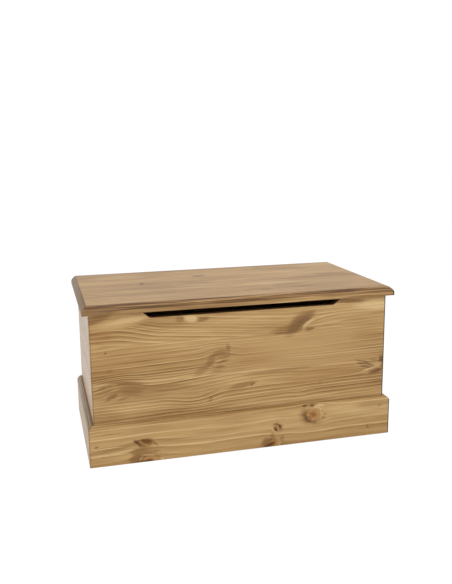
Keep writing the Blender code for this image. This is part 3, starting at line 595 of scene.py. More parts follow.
def bent_rings(wood, board, solid, along, across, depth):
    """How far a place lies across the rings, which a board's marks bend, and its fans' light edges."""
    ring = across + depth * board.slant - along * board.tilt
    for joint in board.joints:
        above = across.then("GREATER_THAN", joint.across)
        ring = ring + above * (along.then("MINIMUM", joint.until) * joint.tilt + joint.shift)
    fans = []
    for fan in board.fans:
        ring, edge = fanned(fan, along, across, ring)
        fans.append((fan, edge))
    for swell in board.swells:
        ring = ring - span((along, across), swell).ramp(0.0, 1.7, swell.lift, 0.0)
    for knot in board.knots:
        stretched = wood.seen_from(knot, wood.join(along, across, 0.0), knot.stretch)
        spread = wood.measure("DOT_PRODUCT", stretched, stretched)
        ring = ring - wood.split(stretched)[1] * knot.radius / spread.then("MAXIMUM", 1.0)
    ring = ring + wood.grain(solid, 2.4, 9.0) * (2.0 * board.wander)
    return ring + wood.grain(solid, 12.0, 60.0) * FINE_WAVES, fans


def edge_colour(wood, board, solid, along, tint, colours):
    """The tint, changed on sawn end grain, on eased edges darkened by wax and by painted shade, by the
    painted shade line at the right end, and on faces painted near black as shade.
    """
    sawn = wood.noise(solid, (260.0, 3.0, 260.0), 1.0).ramp(0.38, 0.66)
    sawn = wood.mix(0.35, wood.mix(sawn, colours.umber, colours.honey), colours.brown)
    crosscut = wood.attribute("end_grain")
    tint = wood.mix(crosscut * 0.60, tint, sawn)
    # Eased edges darken towards the wax stain, partly as wax and partly as painted shade, by shares that
    # depend on the side they face
    tint = wood.mix(wood.attribute("edge_wear_and_shade") * 0.75, tint, wood.mix(0.30, colours.stain, colours.brown))
    # Painted shade: a near-black line beside the board's right end, on faces other than end grain
    rim = along.ramp(board.rim - SHADE_LINE_START, board.rim - SHADE_LINE_FULL) * crosscut.ramp(0.30, 0.70, 0.80, 0.0)
    tint = wood.mix(rim, tint, colours.shade_black)
    # Painted shade: faces marked for it, in the finger slot and on the plinth's ledge, go near black
    return wood.mix(wood.attribute("painted_shade") * 0.90, tint, wood.mix(0.45, colours.umber, colours.shade_black))


def span(point, mark):
    """How far a point lies from the middle of a mark, where 1 is the mark's rim."""
    x, y = point
    turn = math.radians(getattr(mark, "turn", 0.0))
    cos, sin = math.cos(turn), math.sin(turn)
    start = -(mark.along * cos + mark.across * sin) / mark.reach
    foot = (mark.along * sin - mark.across * cos) / mark.height
    run = x.then("MULTIPLY_ADD", cos / mark.reach, y.then("MULTIPLY_ADD", sin / mark.reach, start))
    rise = x.then("MULTIPLY_ADD", -sin / mark.height, y.then("MULTIPLY_ADD", cos / mark.height, foot))
    return run.then("MULTIPLY_ADD", run, rise * rise).then("SQRT")


def fanned(fan, along, across, ring):
    """Opens the rings out from a point, up to the fan's edges, and tells where its light edge runs."""
    run = (along - fan.along) / fan.reach
    grown = 1.0 - (run.then("MAXIMUM", 0.02) * -1.0).then("EXPONENT")
    rise = (across - fan.across) / grown
    ahead = run.then("GREATER_THAN", 0.0)
    inside = ahead * rise.then("GREATER_THAN", -fan.below) * rise.then("LESS_THAN", fan.above)
    edge = ahead * (rise - fan.above).then("ABSOLUTE").ramp(0.0, 0.005, 1.0, 0.0)
    return ring + inside * (rise - across + (fan.across + FAN_SHIFT)), edge


def knot_colour(wood, knot, place, tint, colours):
    """A knot: smoke and a dark rim on its shadow side, and an amber body with rings and a dark heart."""
    far = wood.measure("LENGTH", place)
    angle = math.radians(knot.shadow)
    side = wood.measure("DOT_PRODUCT", place, (math.cos(angle), math.sin(angle), 0.0))
    patchy = wood.noise(place, (1.3, 1.3, 1.3), 3.0)
    smoke = far.ramp(0.8, 2.3, 1.00, 0.0) * side.ramp(-0.8, 0.8, 0.20, 1.0)
    tint = wood.mix(smoke * patchy.ramp(0.25, 0.50), tint, colours.brown)
    rim = far.ramp(0.85, 1.00) * far.ramp(1.10, 1.60, 1.0, 0.0)
    tint = wood.mix(rim * side.ramp(0.30, 1.15, 0.0, 0.85), tint, colours.umber)
    light = far.ramp(0.95, 1.10) * far.ramp(1.15, 1.40, 1.0, 0.0)
    tint = wood.mix(light * side.ramp(-1.0, 0.0, 0.45, 0.0), tint, colours.cream)
    body = wood.mix(patchy.ramp(0.40, 0.65, 0.0, 0.35), colours.amber, colours.russet)
    body = wood.mix((far * 3.2 + patchy).then("FRACT").ramp(0.55, 0.95, 0.0, 0.50), body, colours.russet)
    body = wood.mix(far.ramp(0.60, 0.72) * far.ramp(0.76, 0.88, 0.30, 0.0), body, colours.cream)
    body = wood.mix(far.ramp(0.10, 0.55, 1.0, 0.0), body, colours.russet)
    body = wood.mix(far.ramp(0.00, 0.25, 0.25, 0.0), body, colours.umber)
    return wood.mix(far.ramp(0.88, 1.02, knot.strength, 0.0), tint, body)


def metal_finish(name, base, dull, roughness):
    """A metal with fine brushing, cloudy tarnish and brighter worn edges."""
    metal = Material(name)
    cloud = metal.noise(metal.place, (70.0, 70.0, 70.0), 3.0)
    brushed = metal.noise(metal.place, (250.0, 2600.0, 2600.0))
    edge_wear_and_shade = metal.attribute("edge_wear_and_shade")
    tint = metal.mix(cloud.ramp(0.35, 0.75, 0.0, 0.5), base, dull)
    tint = metal.mix(edge_wear_and_shade * 0.6, tint, tuple(min(1.0, part * 1.25) for part in base))
    rough = cloud * 0.22 + brushed * 0.14 + (roughness - 0.18) - edge_wear_and_shade * 0.08
    values = {"Base Color": tint, "Metallic": 1.0, "Roughness": rough}
    return metal.finish(values, brushed * 0.5 + cloud * 0.5, METAL_RELIEF)


def brass(name, colours):
    return metal_finish(name, colours.brass, colours.tarnish, roughness=0.32)


def zinc(name, colours):
    return metal_finish(name, colours.zinc, colours.zinc_dull, roughness=0.36)


def box_shape(low, high):
    """A box between two corners."""
    shape = bmesh.new()
    bmesh.ops.create_cube(shape, size=1.0)
    bmesh.ops.scale(shape, vec=high - low, verts=shape.verts)
    bmesh.ops.translate(shape, vec=(high + low) / 2, verts=shape.verts)
    return shape


def near(*numbers):
    return max(numbers) - min(numbers) < CLOSE


def round_edges(shape, chosen, width, steps=CORNER_STEPS, fullness=0.5):
    """Rounds the edges whose two ends both satisfy the test, and marks the new faces as eased edges, which
    show wear on metal, and wax with painted light and shade by the side they face on a board.
    """
    edges = [edge for edge in shape.edges if chosen(edge.verts[0].co, edge.verts[1].co)]
    bevel(shape, edges, width, steps, fullness)


def ease_edges(shape, width, over=SHARP_BOARD):
    """Eases every edge that is still sharp, and marks the new faces as eased edges, which show wear on metal,
    and wax with painted light and shade by the side they face on a board.
    """
    bmesh.ops.recalc_face_normals(shape, faces=shape.faces)
    edges = [edge for edge in shape.edges if edge.is_manifold and edge.calc_face_angle() > over]
    bevel(shape, edges, width, ARRIS_STEPS, 0.5)


def bevel(shape, edges, width, steps, fullness):
    edge_wear_and_shade = shape.faces.layers.float.get("edge_wear_and_shade") or shape.faces.layers.float.new("edge_wear_and_shade")
    made = bmesh.ops.bevel(shape, geom=edges, offset=width, offset_type="OFFSET", segments=steps,
                           profile=fullness, affect="EDGES", clamp_overlap=True)
    for face in made["faces"]:
        face[edge_wear_and_shade] = 1.0


def keep_side(shape, point, normal):
    """Saws a shape at a plane, keeps the side that the normal points to, and closes the sawn face."""
    everything = shape.verts[:] + shape.edges[:] + shape.faces[:]
    sawn = bmesh.ops.bisect_plane(shape, geom=everything, dist=WELD, plane_co=point, plane_no=normal,
                                  clear_inner=True)
    rim = [item for item in sawn["geom_cut"] if isinstance(item, bmesh.types.BMEdge)]
    bmesh.ops.edgeloop_fill(shape, edges=rim)


def mesh_of(shape):
    mesh = bpy.data.meshes.new("piece")
    shape.to_mesh(mesh)
    shape.free()
    return mesh


def nowhere(face):
    return 0.0


def wooden(shape, axis, moulded=nowhere, painted_shade=nowhere):
    """Turns a shape into a mesh that knows its end grain, its moulded faces and its faces of painted shade,
    with painted light and shade on its edges by the side they face, and with flat faces kept flat.
    """
    bmesh.ops.recalc_face_normals(shape, faces=shape.faces)
    layers = shape.faces.layers.float
    end_grain, moulding, dark = [layers.new(label) for label in ("end_grain", "moulded", "painted_shade")]
    edge_wear_and_shade = layers.get("edge_wear_and_shade")
    for face in shape.faces:
        aside = face.normal.x
        face[end_grain] = abs(face.normal["XYZ".index(axis)])
        face[moulding] = moulded(face)
        face[dark] = painted_shade(face)
        # Painted light and shade by the side a face turns to: faces turned right take more edge darkening,
        # and faces turned left less of it and lighter end grain
        if face[moulding]:
            face[edge_wear_and_shade] = 1.0 if aside > TURNED else LIT_LEFT_MOULDING if aside < -TURNED else 0.0
        elif aside < -TURNED:
            face[edge_wear_and_shade] *= LIT_LEFT_EDGE
            face[end_grain] *= LIT_LEFT_END_GRAIN
        elif aside > TURNED:
            face[edge_wear_and_shade] *= SHADED_RIGHT_EDGE
        face.smooth = max(abs(part) for part in face.normal) < FLAT_NORMAL
    return mesh_of(shape)


def smooth_mesh(shape):
    """Turns a shape into a mesh that is smooth over its rounds and flat on its large faces."""
    bmesh.ops.recalc_face_normals(shape, faces=shape.faces)
    for face in shape.faces:
        face.smooth = face.calc_area() < FLAT_AREA
    mesh = mesh_of(shape)
    mesh.set_sharp_from_angle(angle=SMOOTH_ANGLE)
    return mesh


def show(name, mesh, material, body, slot, *nodes):
    """Shows a finished mesh as a piece that rides on a body and stands for its CAD nodes."""
    mesh.name = name
    mesh.materials.clear()
    mesh.materials.append(material)
    piece = bpy.data.objects.new(name, mesh)
    bpy.context.scene.collection.objects.link(piece)
    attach(piece, body)
    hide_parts(*nodes)


def packed_copy(node):
    """A CAD node's own faces, merged into one clean shape."""
    shape = bmesh.new()
    shape.from_mesh(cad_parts[node].data)
    bmesh.ops.remove_doubles(shape, verts=shape.verts, dist=CLOSE)
    bmesh.ops.dissolve_limit(shape, angle_limit=MERGED_ANGLE, verts=shape.verts, edges=shape.edges)
    return shape


def turned_mesh(profile, origin, direction):
    """Turns a profile of (radius, distance) points about an axis that starts at an origin."""
    shape = bmesh.new()
    verts = [shape.verts.new((radius, 0, height)) for radius, height in profile]
    edges = [shape.edges.new(pair) for pair in zip(verts, verts[1:])]
    bmesh.ops.spin(shape, geom=verts + edges, cent=(0, 0, 0), axis=(0, 0, 1), angle=2 * math.pi,
                   steps=TURNED_STEPS, use_merge=True)
    bmesh.ops.remove_doubles(shape, verts=shape.verts, dist=WELD)
    turn = Vector((0, 0, 1)).rotation_difference(direction).to_matrix().to_4x4()
    bmesh.ops.transform(shape, matrix=Matrix.Translation(origin) @ turn, verts=shape.verts)
    return smooth_mesh(shape)


def dome(radius, foot, rise):
    """The profile of a domed head from its rim, at the foot, to the middle of its top."""
    angles = [math.radians(90.0) * step / DOME_STEPS for step in range(DOME_STEPS + 1)]
    return [(radius * math.cos(angle), foot + rise * math.sin(angle)) for angle in angles]


def bend(start, corner, end):
    """Points along a round that starts and ends on the two sides of a corner."""
    start, corner, end = Vector(start), Vector(corner), Vector(end)
    shares = [step / SLOT_STEPS for step in range(SLOT_STEPS + 1)]
    return [start * (1 - t) ** 2 + corner * 2 * t * (1 - t) + end * t ** 2 for t in shares]


def front_outline(low, high, sizes):
    """The front panel's face, with the finger slot in its top edge, as points of x and z."""
    half, reach = sizes.slot_half_length, sizes.slot_corner
    floor, lip = high.z - sizes.slot_depth, half + sizes.slot_flare
    lean = Vector((sizes.slot_flare, sizes.slot_depth)).normalized() * reach
    right = bend((half - reach, floor), (half, floor), (half + lean.x, floor + lean.y))
    left = [Vector((-point.x, point.y)) for point in reversed(right)]
    middle = (low.x + high.x) / 2
    slot = [Vector((lip, high.z))] + right[::-1] + left[::-1] + [Vector((-lip, high.z))]
    corners = [Vector((low.x, low.z)), Vector((high.x, low.z)), Vector((high.x, high.z))]
    return corners + [point + Vector((middle, 0)) for point in slot] + [Vector((low.x, high.z))]


def build_front(sizes, colours):
    low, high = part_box("front_panel")
    shape = bmesh.new()
    outline = [shape.verts.new((point.x, low.y, point.y)) for point in front_outline(low, high, sizes)]
    made = bmesh.ops.extrude_face_region(shape, geom=[shape.faces.new(outline)])["geom"]
    verts = [item for item in made if isinstance(item, bmesh.types.BMVert)]
    bmesh.ops.translate(shape, vec=(0, high.y - low.y, 0), verts=verts)
    bmesh.ops.recalc_face_normals(shape, faces=shape.faces)

    def on_outer_corner(a, b):
        return near(a.y, b.y, low.y) and (near(a.x, b.x, low.x) or near(a.x, b.x, high.x))

    # Painted shade: the finger slot's ledge under the lid is marked to be painted near black
    def slot_painted_shade(face):
        middle = face.calc_center_median()
        ledge = high.z - sizes.slot_depth - WELD < middle.z < high.z - WELD
        return float(ledge and abs(middle.x) < high.x - 10 * sizes.arris and middle.y > low.y + WELD)

    round_edges(shape, on_outer_corner, sizes.corner_round)
    ease_edges(shape, sizes.arris, SHARP_FRONT)
    show("front_board", wooden(shape, "X", painted_shade=slot_painted_shade), pine("front pine", FRONT, colours), "trunk",
         "front_pine", "front_panel")


def plain_board(name, node, axis, material, slot, sizes, rounded=None):
    """A flat board of the trunk with eased edges."""
    shape = box_shape(*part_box(node))
    if rounded:
        round_edges(shape, rounded, sizes.corner_round)
    ease_edges(shape, sizes.arris)
    show(name, wooden(shape, axis), material, "trunk", slot, node)


def build_back(sizes, colours):
    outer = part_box("back_panel")[1].y

    def on_outer_corner(a, b):
        return near(a.x, b.x) and near(a.y, b.y, outer)

    plain_board("back_board", "back_panel", "X", pine("back pine", BACK, colours), "back_pine", sizes,
                on_outer_corner)


def build_ends(sizes, colours):
    for side, board in (("left", LEFT_END), ("right", RIGHT_END)):
        plain_board(side + "_end_board", side + "_side_panel", "Y", pine(side + " end pine", board, colours),
                    "side_pine", sizes)


def build_base(sizes, colours):
    long_wood = pine("sawn batten", LONG_BATTEN, colours)
    cross_wood = pine("sawn cross batten", CROSS_BATTEN, colours)
    for side, wood, axis in (("front", long_wood, "X"), ("back", long_wood, "X"),
                             ("left", cross_wood, "Y"), ("right", cross_wood, "Y")):
        plain_board(side + "_base_rail", side + "_base_batten", axis, wood, "batten_pine", sizes)
    plain_board("base_board", "base_panel", "X", pine("base ply", BASE, colours), "base_ply", sizes)


def along_outside(a, b, level, back):
    """If an edge lies at a level on the front or an end, and not along the back."""
    return near(a.z, b.z, level) and not near(a.y, b.y, back)


def plinth_block(sizes):
    """The outer shape of the whole plinth, solid, with its moulding and its eased corners."""
    low, high = Vector(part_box("plinth_left")[0]), Vector(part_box("plinth_right")[1])
    low.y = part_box("plinth_front")[0].y
    shape = box_shape(low, high)

    def on_corner(a, b):
        return all(near(high.x - abs(v.x), v.y - low.y) for v in (a, b)) and a.x * b.x > 0

    round_edges(shape, lambda a, b: along_outside(a, b, high.z, high.y), sizes.plinth_moulding,
                sizes.moulding_steps, sizes.moulding_fullness)
    round_edges(shape, on_corner, sizes.plinth_corner)
    ease_edges(shape, sizes.arris)
    return shape


def build_plinth(sizes, colours):
    face_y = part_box("plinth_front")[1].y
    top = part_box("plinth_front")[1].z

    def show_board(side, shape, axis, board):
        def is_moulding(face):
            return EDGE_MOULDED * (top - sizes.plinth_moulding < face.calc_center_median().z < top - WELD)

        # Painted shade: the plinth's ledge at the foot of the boards is marked to be painted dark
        def ledge_painted_shade(face):
            return LEDGE_PAINTED_SHADE * (face.calc_center_median().z > top - WELD)

        show(side + "_plinth_board", wooden(shape, axis, is_moulding, ledge_painted_shade),
             pine(side + " plinth pine", board, colours), "trunk", "plinth_pine", "plinth_" + side)

    front = plinth_block(sizes)
    keep_side(front, (0, face_y, 0), (0, -1, 0))
    for side, name, board in ((-1, "left", LEFT_PLINTH), (1, "right", RIGHT_PLINTH)):
        low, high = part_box("plinth_" + name)
        face_x = low.x if side > 0 else high.x
        mitre = Vector((side, 1, 0)).normalized()
        corner = Vector((face_x, face_y, 0))
        keep_side(front, corner - mitre * sizes.joint / 2, -mitre)
        block = plinth_block(sizes)
        keep_side(block, (face_x, 0, 0), (side, 0, 0))
        keep_side(block, corner + mitre * sizes.joint / 2, mitre)
        show_board(name, block, "Y", board)
    show_board("front", front, "X", PLINTH)


def build_lid(sizes, colours):
    low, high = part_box("lid_panel")
    shape = box_shape(low, high)
    round_edges(shape, lambda a, b: along_outside(a, b, high.z, high.y), sizes.lid_moulding,
                sizes.moulding_steps, sizes.moulding_fullness)
    round_edges(shape, lambda a, b: along_outside(a, b, low.z, high.y), sizes.lid_arris, LID_FOOT_STEPS)
    ease_edges(shape, sizes.arris)

    def is_moulding(face):
        middle = face.calc_center_median()
        if not low.z + WELD < middle.z < high.z - WELD or middle.y > high.y - WELD:
            return 0.0
        return 1.0 if middle.z > high.z - sizes.lid_moulding else EDGE_MOULDED

    show("lid_board", wooden(shape, "X", is_moulding), pine("lid pine", LID, colours), "lid", "lid_pine",
         "lid_panel")


def build_lid_battens(sizes, colours):
    wood = pine("lid batten pine", CROSS_BATTEN, colours)
    for side in ("left", "right"):
        shape = packed_copy(side + "_lid_batten")
        ease_edges(shape, sizes.arris / 2)
        show(side + "_lid_rail", wooden(shape, "Y"), wood, "lid", "batten_pine", side + "_lid_batten")


def show_fitting(node, finish, metal, body, slot, sizes):
    """Shows a fitting with its own faces and eased edges."""
    shape = packed_copy(node)
    ease_edges(shape, sizes.metal_arris, SHARP_METAL)
    show(f"{node}_{finish}", smooth_mesh(shape), metal, body, slot, node)


def build_hinges(sizes, colours):
    metal = brass("hinge brass", colours)
    for side in ("left", "right"):
        for leaf, body in (("body_leaf", "trunk"), ("lid_leaf", "lid")):
            show_fitting(f"{side}_hinge_{leaf}", "brass", metal, body, "hinge_brass", sizes)
        node = side + "_hinge_pin"
        low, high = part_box(node)
        foot = (high.x - low.x) / 2 - sizes.pin_head_height
        head = dome(sizes.pin_head_radius, foot, sizes.pin_head_height)
        profile = head[::-1] + [(sizes.pin_radius, foot)]
        profile += [(radius, -height) for radius, height in reversed(profile)]
        mesh = turned_mesh(profile, (low + high) / 2, Vector((1, 0, 0)))
        show(node + "_brass", mesh, metal, "trunk", "hinge_brass", node)


def reaches(node):
    """How far a fitting's two faces lie from the trunk's middle, the outer one first."""
    return sorted((abs(corner.x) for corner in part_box(node)), reverse=True)


def stud_profile(stay, sizes):
    """A stud from its root in the end panel: a collar, the shank that the arm slides on, and a domed head."""
    root, tip = reaches(stay + "stud")
    arm_near, arm_far = reaches(stay + "arm")
    collar = root - reaches(stay + "stud_plate")[1] + sizes.joint
    neck = root - arm_near - sizes.stay_play
    head = root - arm_far + sizes.stay_play
    rim = head + sizes.stay_head_height / 3
    return [(0, 0), (sizes.rivet_radius, 0), (sizes.rivet_radius, collar), (sizes.collar_radius, collar),
            (sizes.collar_radius, neck), (sizes.stud_radius, neck), (sizes.stud_radius, head),
            (sizes.stud_head_radius, head), *dome(sizes.stud_head_radius, rim, root - tip - rim)]


def rivet_profile(stay, sizes):
    """A rivet with a domed head at each end."""
    root, tip = reaches(stay + "rivet")
    whole, rise = root - tip, sizes.stay_head_height
    shank, head = sizes.rivet_radius, sizes.rivet_head_radius
    crown = dome(head, whole - rise + rise / 3, rise - rise / 3)
    return [*((radius, whole - height) for radius, height in reversed(crown)),
            (head, rise), (shank, rise), (shank, whole - rise), (head, whole - rise), *crown]


def build_stays(sizes, colours):
    metal = zinc("stay zinc", colours)
    for side, name in ((-1, "left"), (1, "right")):
        stay = name + "_stay_"
        for part, body in (("stud_plate", "trunk"), ("lid_bracket", "lid"), ("arm", name + "_arm")):
            show_fitting(stay + part, "zinc", metal, body, "stay_steel", sizes)
        for part, body, profile in (("stud", "trunk", stud_profile), ("rivet", "lid", rivet_profile)):
            low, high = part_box(stay + part)
            origin = Vector((side * reaches(stay + part)[0], (low.y + high.y) / 2, (low.z + high.z) / 2))
            mesh = turned_mesh(profile(stay, sizes), origin, Vector((-side, 0, 0)))
            show(stay + part + "_zinc", mesh, metal, body, "stay_steel", stay + part)


def tube(tree, top_radius, foot_radius, top, foot, fill="NONE", sides=SCREW_SIDES):
    """A cone about Z between two heights."""
    values = {"Vertices": sides, "Radius Top": top_radius, "Radius Bottom": foot_radius, "Depth": top - foot}
    cone = grow(tree, "GeometryNodeMeshCone", values, fill_type=fill)
    height = grow(tree, "ShaderNodeCombineXYZ", {2: foot})
    return grow(tree, "GeometryNodeTransform", {"Geometry": cone, "Translation": height})


def screw_tree():
    """A tree that drives a countersunk cross-head screw at every point, its head facing the outward way."""
    tree = bpy.data.node_groups.new("countersunk screws", "GeometryNodeTree")
    kinds = {"Places": "Geometry", **dict.fromkeys(SCREW_SIZES, "Float"), "Recess Reach": "Float",
             "Recess Width": "Float", "Seed": "Int", "Finish": "Material"}
    for label, kind in kinds.items():
        tree.interface.new_socket(label, in_out="INPUT", socket_type="NodeSocket" + kind)
    tree.interface.new_socket("Screws", in_out="OUTPUT", socket_type="NodeSocketGeometry")
    given = {socket.name: Formula(tree, socket) for socket in tree.nodes.new("NodeGroupInput").outputs}
    head, rise, shank = given["Head Radius"], given["Head Height"], given["Shank Radius"]
    rim, shoulder, point = rise * -RIM_SHARE, rise * -1.0, given["Length"] * -1.0
    taper = point + given["Tip"]

    disk = grow(tree, "GeometryNodeMeshCircle", {"Vertices": SCREW_SIDES, "Radius": head}, fill_type="NGON")
    body = grow(tree, "GeometryNodeJoinGeometry")
    for part in (disk, tube(tree, head, head, 0.0, rim), tube(tree, head, shank, rim, shoulder),
                 tube(tree, shank, shank, shoulder, taper), tube(tree, shank, 0.0, taper, point)):
        feed(tree, body.inputs[0], part)
    closed = grow(tree, "GeometryNodeMergeByDistance", {"Geometry": body, "Distance": WELD})

    recess = grow(tree, "GeometryNodeMeshBoolean", {"Mesh 1": closed}, operation="DIFFERENCE")
    reach, width = given["Recess Reach"], given["Recess Width"]
    for half_sizes in ((reach, width), (width, reach)):
        punch = tube(tree, RECESS_TOP, RECESS_FOOT, 1.0, -1.0, "NGON", 4)
        square = grow(tree, "GeometryNodeTransform", {"Geometry": punch, "Rotation": (0.0, 0.0, math.pi / 4)})
        spread = grow(tree, "ShaderNodeCombineXYZ", (*half_sizes, rise * RECESS_DEPTH_SHARE))
        sized = grow(tree, "GeometryNodeTransform", {"Geometry": square, "Scale": spread})
        feed(tree, recess.inputs["Mesh 2"], sized)

    outward = grow(tree, "GeometryNodeInputNamedAttribute", {"Name": "outward"}, data_type="FLOAT_VECTOR")
    face = grow(tree, "FunctionNodeAlignRotationToVector", {"Vector": outward}, axis="Z")
    chance = grow(tree, "FunctionNodeRandomValue", {3: 2 * math.pi, "Seed": given["Seed"]}, data_type="FLOAT")
    turn = grow(tree, "FunctionNodeAxisAngleToRotation",
                {"Axis": (0.0, 0.0, 1.0), "Angle": chance.outputs[1]})
    stance = grow(tree, "FunctionNodeRotateRotation", {"Rotation": face, "Rotate By": turn},
                  rotation_space="LOCAL")
    driven = grow(tree, "GeometryNodeInstanceOnPoints",
                  {"Points": given["Places"], "Instance": recess, "Rotation": stance})
    real = grow(tree, "GeometryNodeRealizeInstances", {"Geometry": driven})
    painted = grow(tree, "GeometryNodeSetMaterial", {"Geometry": real, "Material": given["Finish"]})
    grow(tree, "NodeGroupOutput", (painted,))
    return tree


def drive_screws(name, tree, nodes, outward, values, material, body, slot):
    """Runs the screw tree on the heads of some CAD screws and shows the result as one piece."""
    heads = []
    for node, way in zip(nodes, outward):
        low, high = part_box(node)
        heads.append((low + high) / 2 + Vector(way) * ((high - low) / 2))
    places = bpy.data.meshes.new(name + "_places")
    places.from_pydata(heads, [], [])
    layer = places.attributes.new("outward", "FLOAT_VECTOR", "POINT")
    layer.data.foreach_set("vector", [part for way in outward for part in way])
    carrier = bpy.data.objects.new(name + "_places", places)
    bpy.context.scene.collection.objects.link(carrier)
    modifier = carrier.modifiers.new("screws", "NODES")
    modifier.node_group = tree
    for label, value in {**values, "Finish": material}.items():
        modifier[tree.interface.items_tree[label].identifier] = value
    bpy.context.view_layer.update()
    evaluated = carrier.evaluated_get(bpy.context.evaluated_depsgraph_get())
    mesh = bpy.data.meshes.new_from_object(evaluated)
    bpy.data.objects.remove(carrier, do_unlink=True)
    if not mesh.polygons:
        raise RuntimeError("the screw tree made nothing for " + name)
    shape = bmesh.new()
    shape.from_mesh(mesh)
    edge_wear_and_shade = shape.faces.layers.float.new("edge_wear_and_shade")
    for face in shape.faces:
        face.smooth = True
        face[edge_wear_and_shade] = SCREW_RUBBED
    shape.to_mesh(mesh)
    shape.free()
    mesh.set_sharp_from_angle(angle=SMOOTH_ANGLE)
    show(name, mesh, material, body, slot, *nodes)


def screw_values(sizes, kind):
    """The screw tree's sizes for a kind of screw."""
    values = {label: getattr(sizes, f"{kind}_screw_{part}") for label, part in SCREW_SIZES.items()}
    values["Recess Reach"] = values["Head Radius"] * sizes.recess_reach_share
    values["Recess Width"] = values["Head Radius"] * sizes.recess_width_share
    return values


def build_screws(sizes, colours):
    tree = screw_tree()
    yellow, grey = brass("screw brass", colours), zinc("screw zinc", colours)
    back, down, right, left = (0.0, 1.0, 0.0), (0.0, 0.0, -1.0), (1.0, 0.0, 0.0), (-1.0, 0.0, 0.0)
    kinds = (
        ("body_hinge", "fitting", "hinge_body_leaf", 3, back, back, yellow, "trunk", "hinge_screw_brass"),
        ("lid_hinge", "fitting", "hinge_lid_leaf", 3, back, back, yellow, "lid", "hinge_screw_brass"),
        ("lid_bracket", "fitting", "stay_lid_bracket", 2, down, down, grey, "lid", "screw_steel"),
        ("stud_plate", "fitting", "stay_stud_plate", 2, right, left, grey, "trunk", "screw_steel"),
        ("lid_rail", "batten", "lid_batten", 3, down, down, grey, "lid", "screw_steel"),
    )
    for seed, (name, kind, held, count, left_way, right_way, metal, body, slot) in enumerate(kinds, 1):
        nodes = [f"{side}_{held}_screw_{i + 1}" for side in ("left", "right") for i in range(count)]
        outward = [left_way] * count + [right_way] * count
        values = {**screw_values(sizes, kind), "Seed": seed}
        drive_screws(name + "_screws", tree, nodes, outward, values, metal, body, slot)


def run(build, context):
    """Calls a build function with the scene's sizes and colours, as an operator's whole work."""
    build(context.scene.trunk_sizes, context.scene.trunk_colours)
    return {"FINISHED"}


class TRUNK_OT_front(bpy.types.Operator):
    """Builds the front board with its finger slot"""
    bl_idname = "trunk.front"
    bl_label = "Front Board"

    def execute(self, context):
        return run(build_front, context)


class TRUNK_OT_back(bpy.types.Operator):
    """Builds the back board"""
    bl_idname = "trunk.back"
    bl_label = "Back Board"

    def execute(self, context):
        return run(build_back, context)


class TRUNK_OT_ends(bpy.types.Operator):
    """Builds the two end boards"""
    bl_idname = "trunk.ends"
    bl_label = "End Boards"

    def execute(self, context):
        return run(build_ends, context)


class TRUNK_OT_base(bpy.types.Operator):
    """Builds the base board and the rails that carry it"""
    bl_idname = "trunk.base"
    bl_label = "Base"

    def execute(self, context):
        return run(build_base, context)


class TRUNK_OT_plinth(bpy.types.Operator):
    """Builds the three moulded and mitred plinth boards"""
    bl_idname = "trunk.plinth"
    bl_label = "Plinth"

    def execute(self, context):
        return run(build_plinth, context)


class TRUNK_OT_lid(bpy.types.Operator):
    """Builds the moulded lid board"""
    bl_idname = "trunk.lid"
    bl_label = "Lid Board"

    def execute(self, context):
        return run(build_lid, context)


class TRUNK_OT_lid_battens(bpy.types.Operator):
    """Builds the two rails that keep the lid flat"""
    bl_idname = "trunk.lid_battens"
    bl_label = "Lid Rails"

    def execute(self, context):
        return run(build_lid_battens, context)


class TRUNK_OT_hinges(bpy.types.Operator):
    """Builds the brass hinges: their leaves and pins"""
    bl_idname = "trunk.hinges"
    bl_label = "Hinges"

    def execute(self, context):
        return run(build_hinges, context)


class TRUNK_OT_stays(bpy.types.Operator):
    """Builds the slotted lid stays: plates, studs, arms, rivets and brackets"""
    bl_idname = "trunk.stays"
    bl_label = "Lid Stays"

    def execute(self, context):
        return run(build_stays, context)


class TRUNK_OT_screws(bpy.types.Operator):
    """Drives every screw with Geometry Nodes"""
    bl_idname = "trunk.screws"
    bl_label = "Screws"

    def execute(self, context):
        return run(build_screws, context)


def white_to_view(tree):
    """1 for the rays that see the studio directly, in a mirror or through glass."""
    path = tree.nodes.new("ShaderNodeLightPath").outputs
    seen = Formula(tree, path["Is Camera Ray"])
    for other in ("Is Glossy Ray", "Is Transmission Ray"):
        seen = seen.then("MAXIMUM", path[other])
    return seen


def white_sky(scene):
    """A white sky that lights the trunk a little less than it looks."""
    scene.world = bpy.data.worlds.new("studio")
    scene.world.use_nodes = True
    tree = scene.world.node_tree
    background = next(n for n in tree.nodes if n.type == "BACKGROUND")
    background.inputs["Color"].default_value = (1.0, 1.0, 1.0, 1.0)
    feed(tree, background.inputs["Strength"], white_to_view(tree) * (1.0 - SKY_LIGHT) + SKY_LIGHT)


def white_floor(scene):
    """A floor that looks white, with a faint shadow, and reflects light as a pale floor does."""
    material = bpy.data.materials.new("studio floor")
    material.use_nodes = True
    tree = material.node_tree
    tree.nodes.clear()
    plain = grow(tree, "ShaderNodeBsdfDiffuse", {"Color": (*[FLOOR_GREY] * 3, 1.0)})
    faint = grow(tree, "ShaderNodeBsdfDiffuse", {"Color": (*[FLOOR_SHADE] * 3, 1.0)})
    glow = grow(tree, "ShaderNodeEmission", {"Strength": FLOOR_GLOW})
    both = grow(tree, "ShaderNodeAddShader", (faint, glow))
    choose = grow(tree, "ShaderNodeMixShader", (white_to_view(tree), plain, both))
    grow(tree, "ShaderNodeOutputMaterial", {"Surface": choose})

    shape = bmesh.new()
    bmesh.ops.create_grid(shape, x_segments=1, y_segments=1, size=FLOOR_HALF)
    mesh = mesh_of(shape)
    mesh.materials.append(material)
    floor = bpy.data.objects.new("studio_floor", mesh)
    floor.location.z = -FLOOR_DROP
    scene.collection.objects.link(floor)


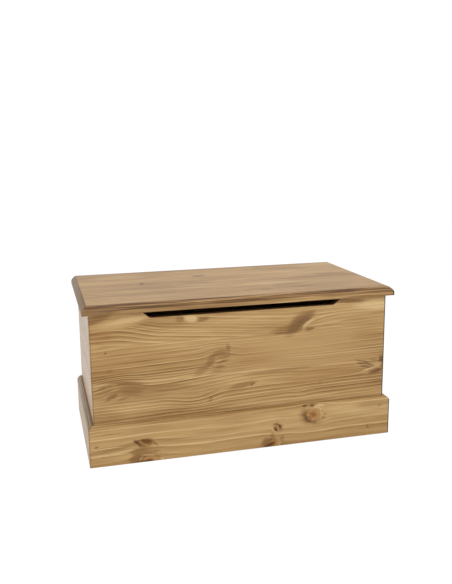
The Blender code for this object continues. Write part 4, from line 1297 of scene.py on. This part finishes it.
def lamp(scene, name, place, size, power):
    """A large soft lamp that faces the trunk, from a place, with a side and a power."""
    light = bpy.data.lights.new(name, "AREA")
    light.shape = "SQUARE"
    light.size = size
    light.energy = power
    item = bpy.data.objects.new(name, light)
    item.location = place
    item.rotation_euler = (LAMP_TARGET - Vector(place)).to_track_quat("-Z", "Y").to_euler()
    scene.collection.objects.link(item)


def photo_camera(scene):
    camera = bpy.data.objects.new("camera", bpy.data.cameras.new("camera"))
    camera.data.sensor_width = CAMERA_SENSOR
    camera.data.lens = CAMERA_LENS
    camera.location = CAMERA_PLACE
    aim = (CAMERA_TARGET - CAMERA_PLACE).to_track_quat("-Z", "Y")
    camera.rotation_euler = (aim @ Quaternion((0, 0, 1), CAMERA_ROLL)).to_euler()
    scene.collection.objects.link(camera)
    scene.camera = camera


class TRUNK_OT_stage(bpy.types.Operator):
    """Sets the white floor, the soft lamps and the camera"""
    bl_idname = "trunk.stage"
    bl_label = "Studio"

    def execute(self, context):
        scene = context.scene
        scene.view_settings.view_transform = "Standard"
        white_sky(scene)
        white_floor(scene)
        for name, (place, size, power) in LAMPS.items():
            lamp(scene, name, place, size, power)
        photo_camera(scene)
        return {"FINISHED"}


class TRUNK_PT_panel(bpy.types.Panel):
    """Lists the trunk's pieces in the sidebar"""
    bl_idname = "TRUNK_PT_panel"
    bl_label = "Storage Trunk"
    bl_space_type = "VIEW_3D"
    bl_region_type = "UI"
    bl_category = "Trunk"

    def draw(self, context):
        for operator in OPERATORS:
            self.layout.operator(operator.bl_idname)


OPERATORS = (TRUNK_OT_stage, TRUNK_OT_front, TRUNK_OT_back, TRUNK_OT_ends, TRUNK_OT_base, TRUNK_OT_plinth,
             TRUNK_OT_lid, TRUNK_OT_lid_battens, TRUNK_OT_hinges, TRUNK_OT_stays, TRUNK_OT_screws)
CLASSES = (TrunkSizes, TrunkColours, *OPERATORS, TRUNK_PT_panel)


def register():
    for item in CLASSES:
        bpy.utils.register_class(item)
    bpy.types.Scene.trunk_sizes = PointerProperty(type=TrunkSizes)
    bpy.types.Scene.trunk_colours = PointerProperty(type=TrunkColours)


def unregister():
    del bpy.types.Scene.trunk_colours
    del bpy.types.Scene.trunk_sizes
    for item in reversed(CLASSES):
        bpy.utils.unregister_class(item)


def main():
    register()
    for operator in OPERATORS:
        group, name = operator.bl_idname.split(".")
        getattr(getattr(bpy.ops, group), name)()


if __name__ == "__main__":
    main()
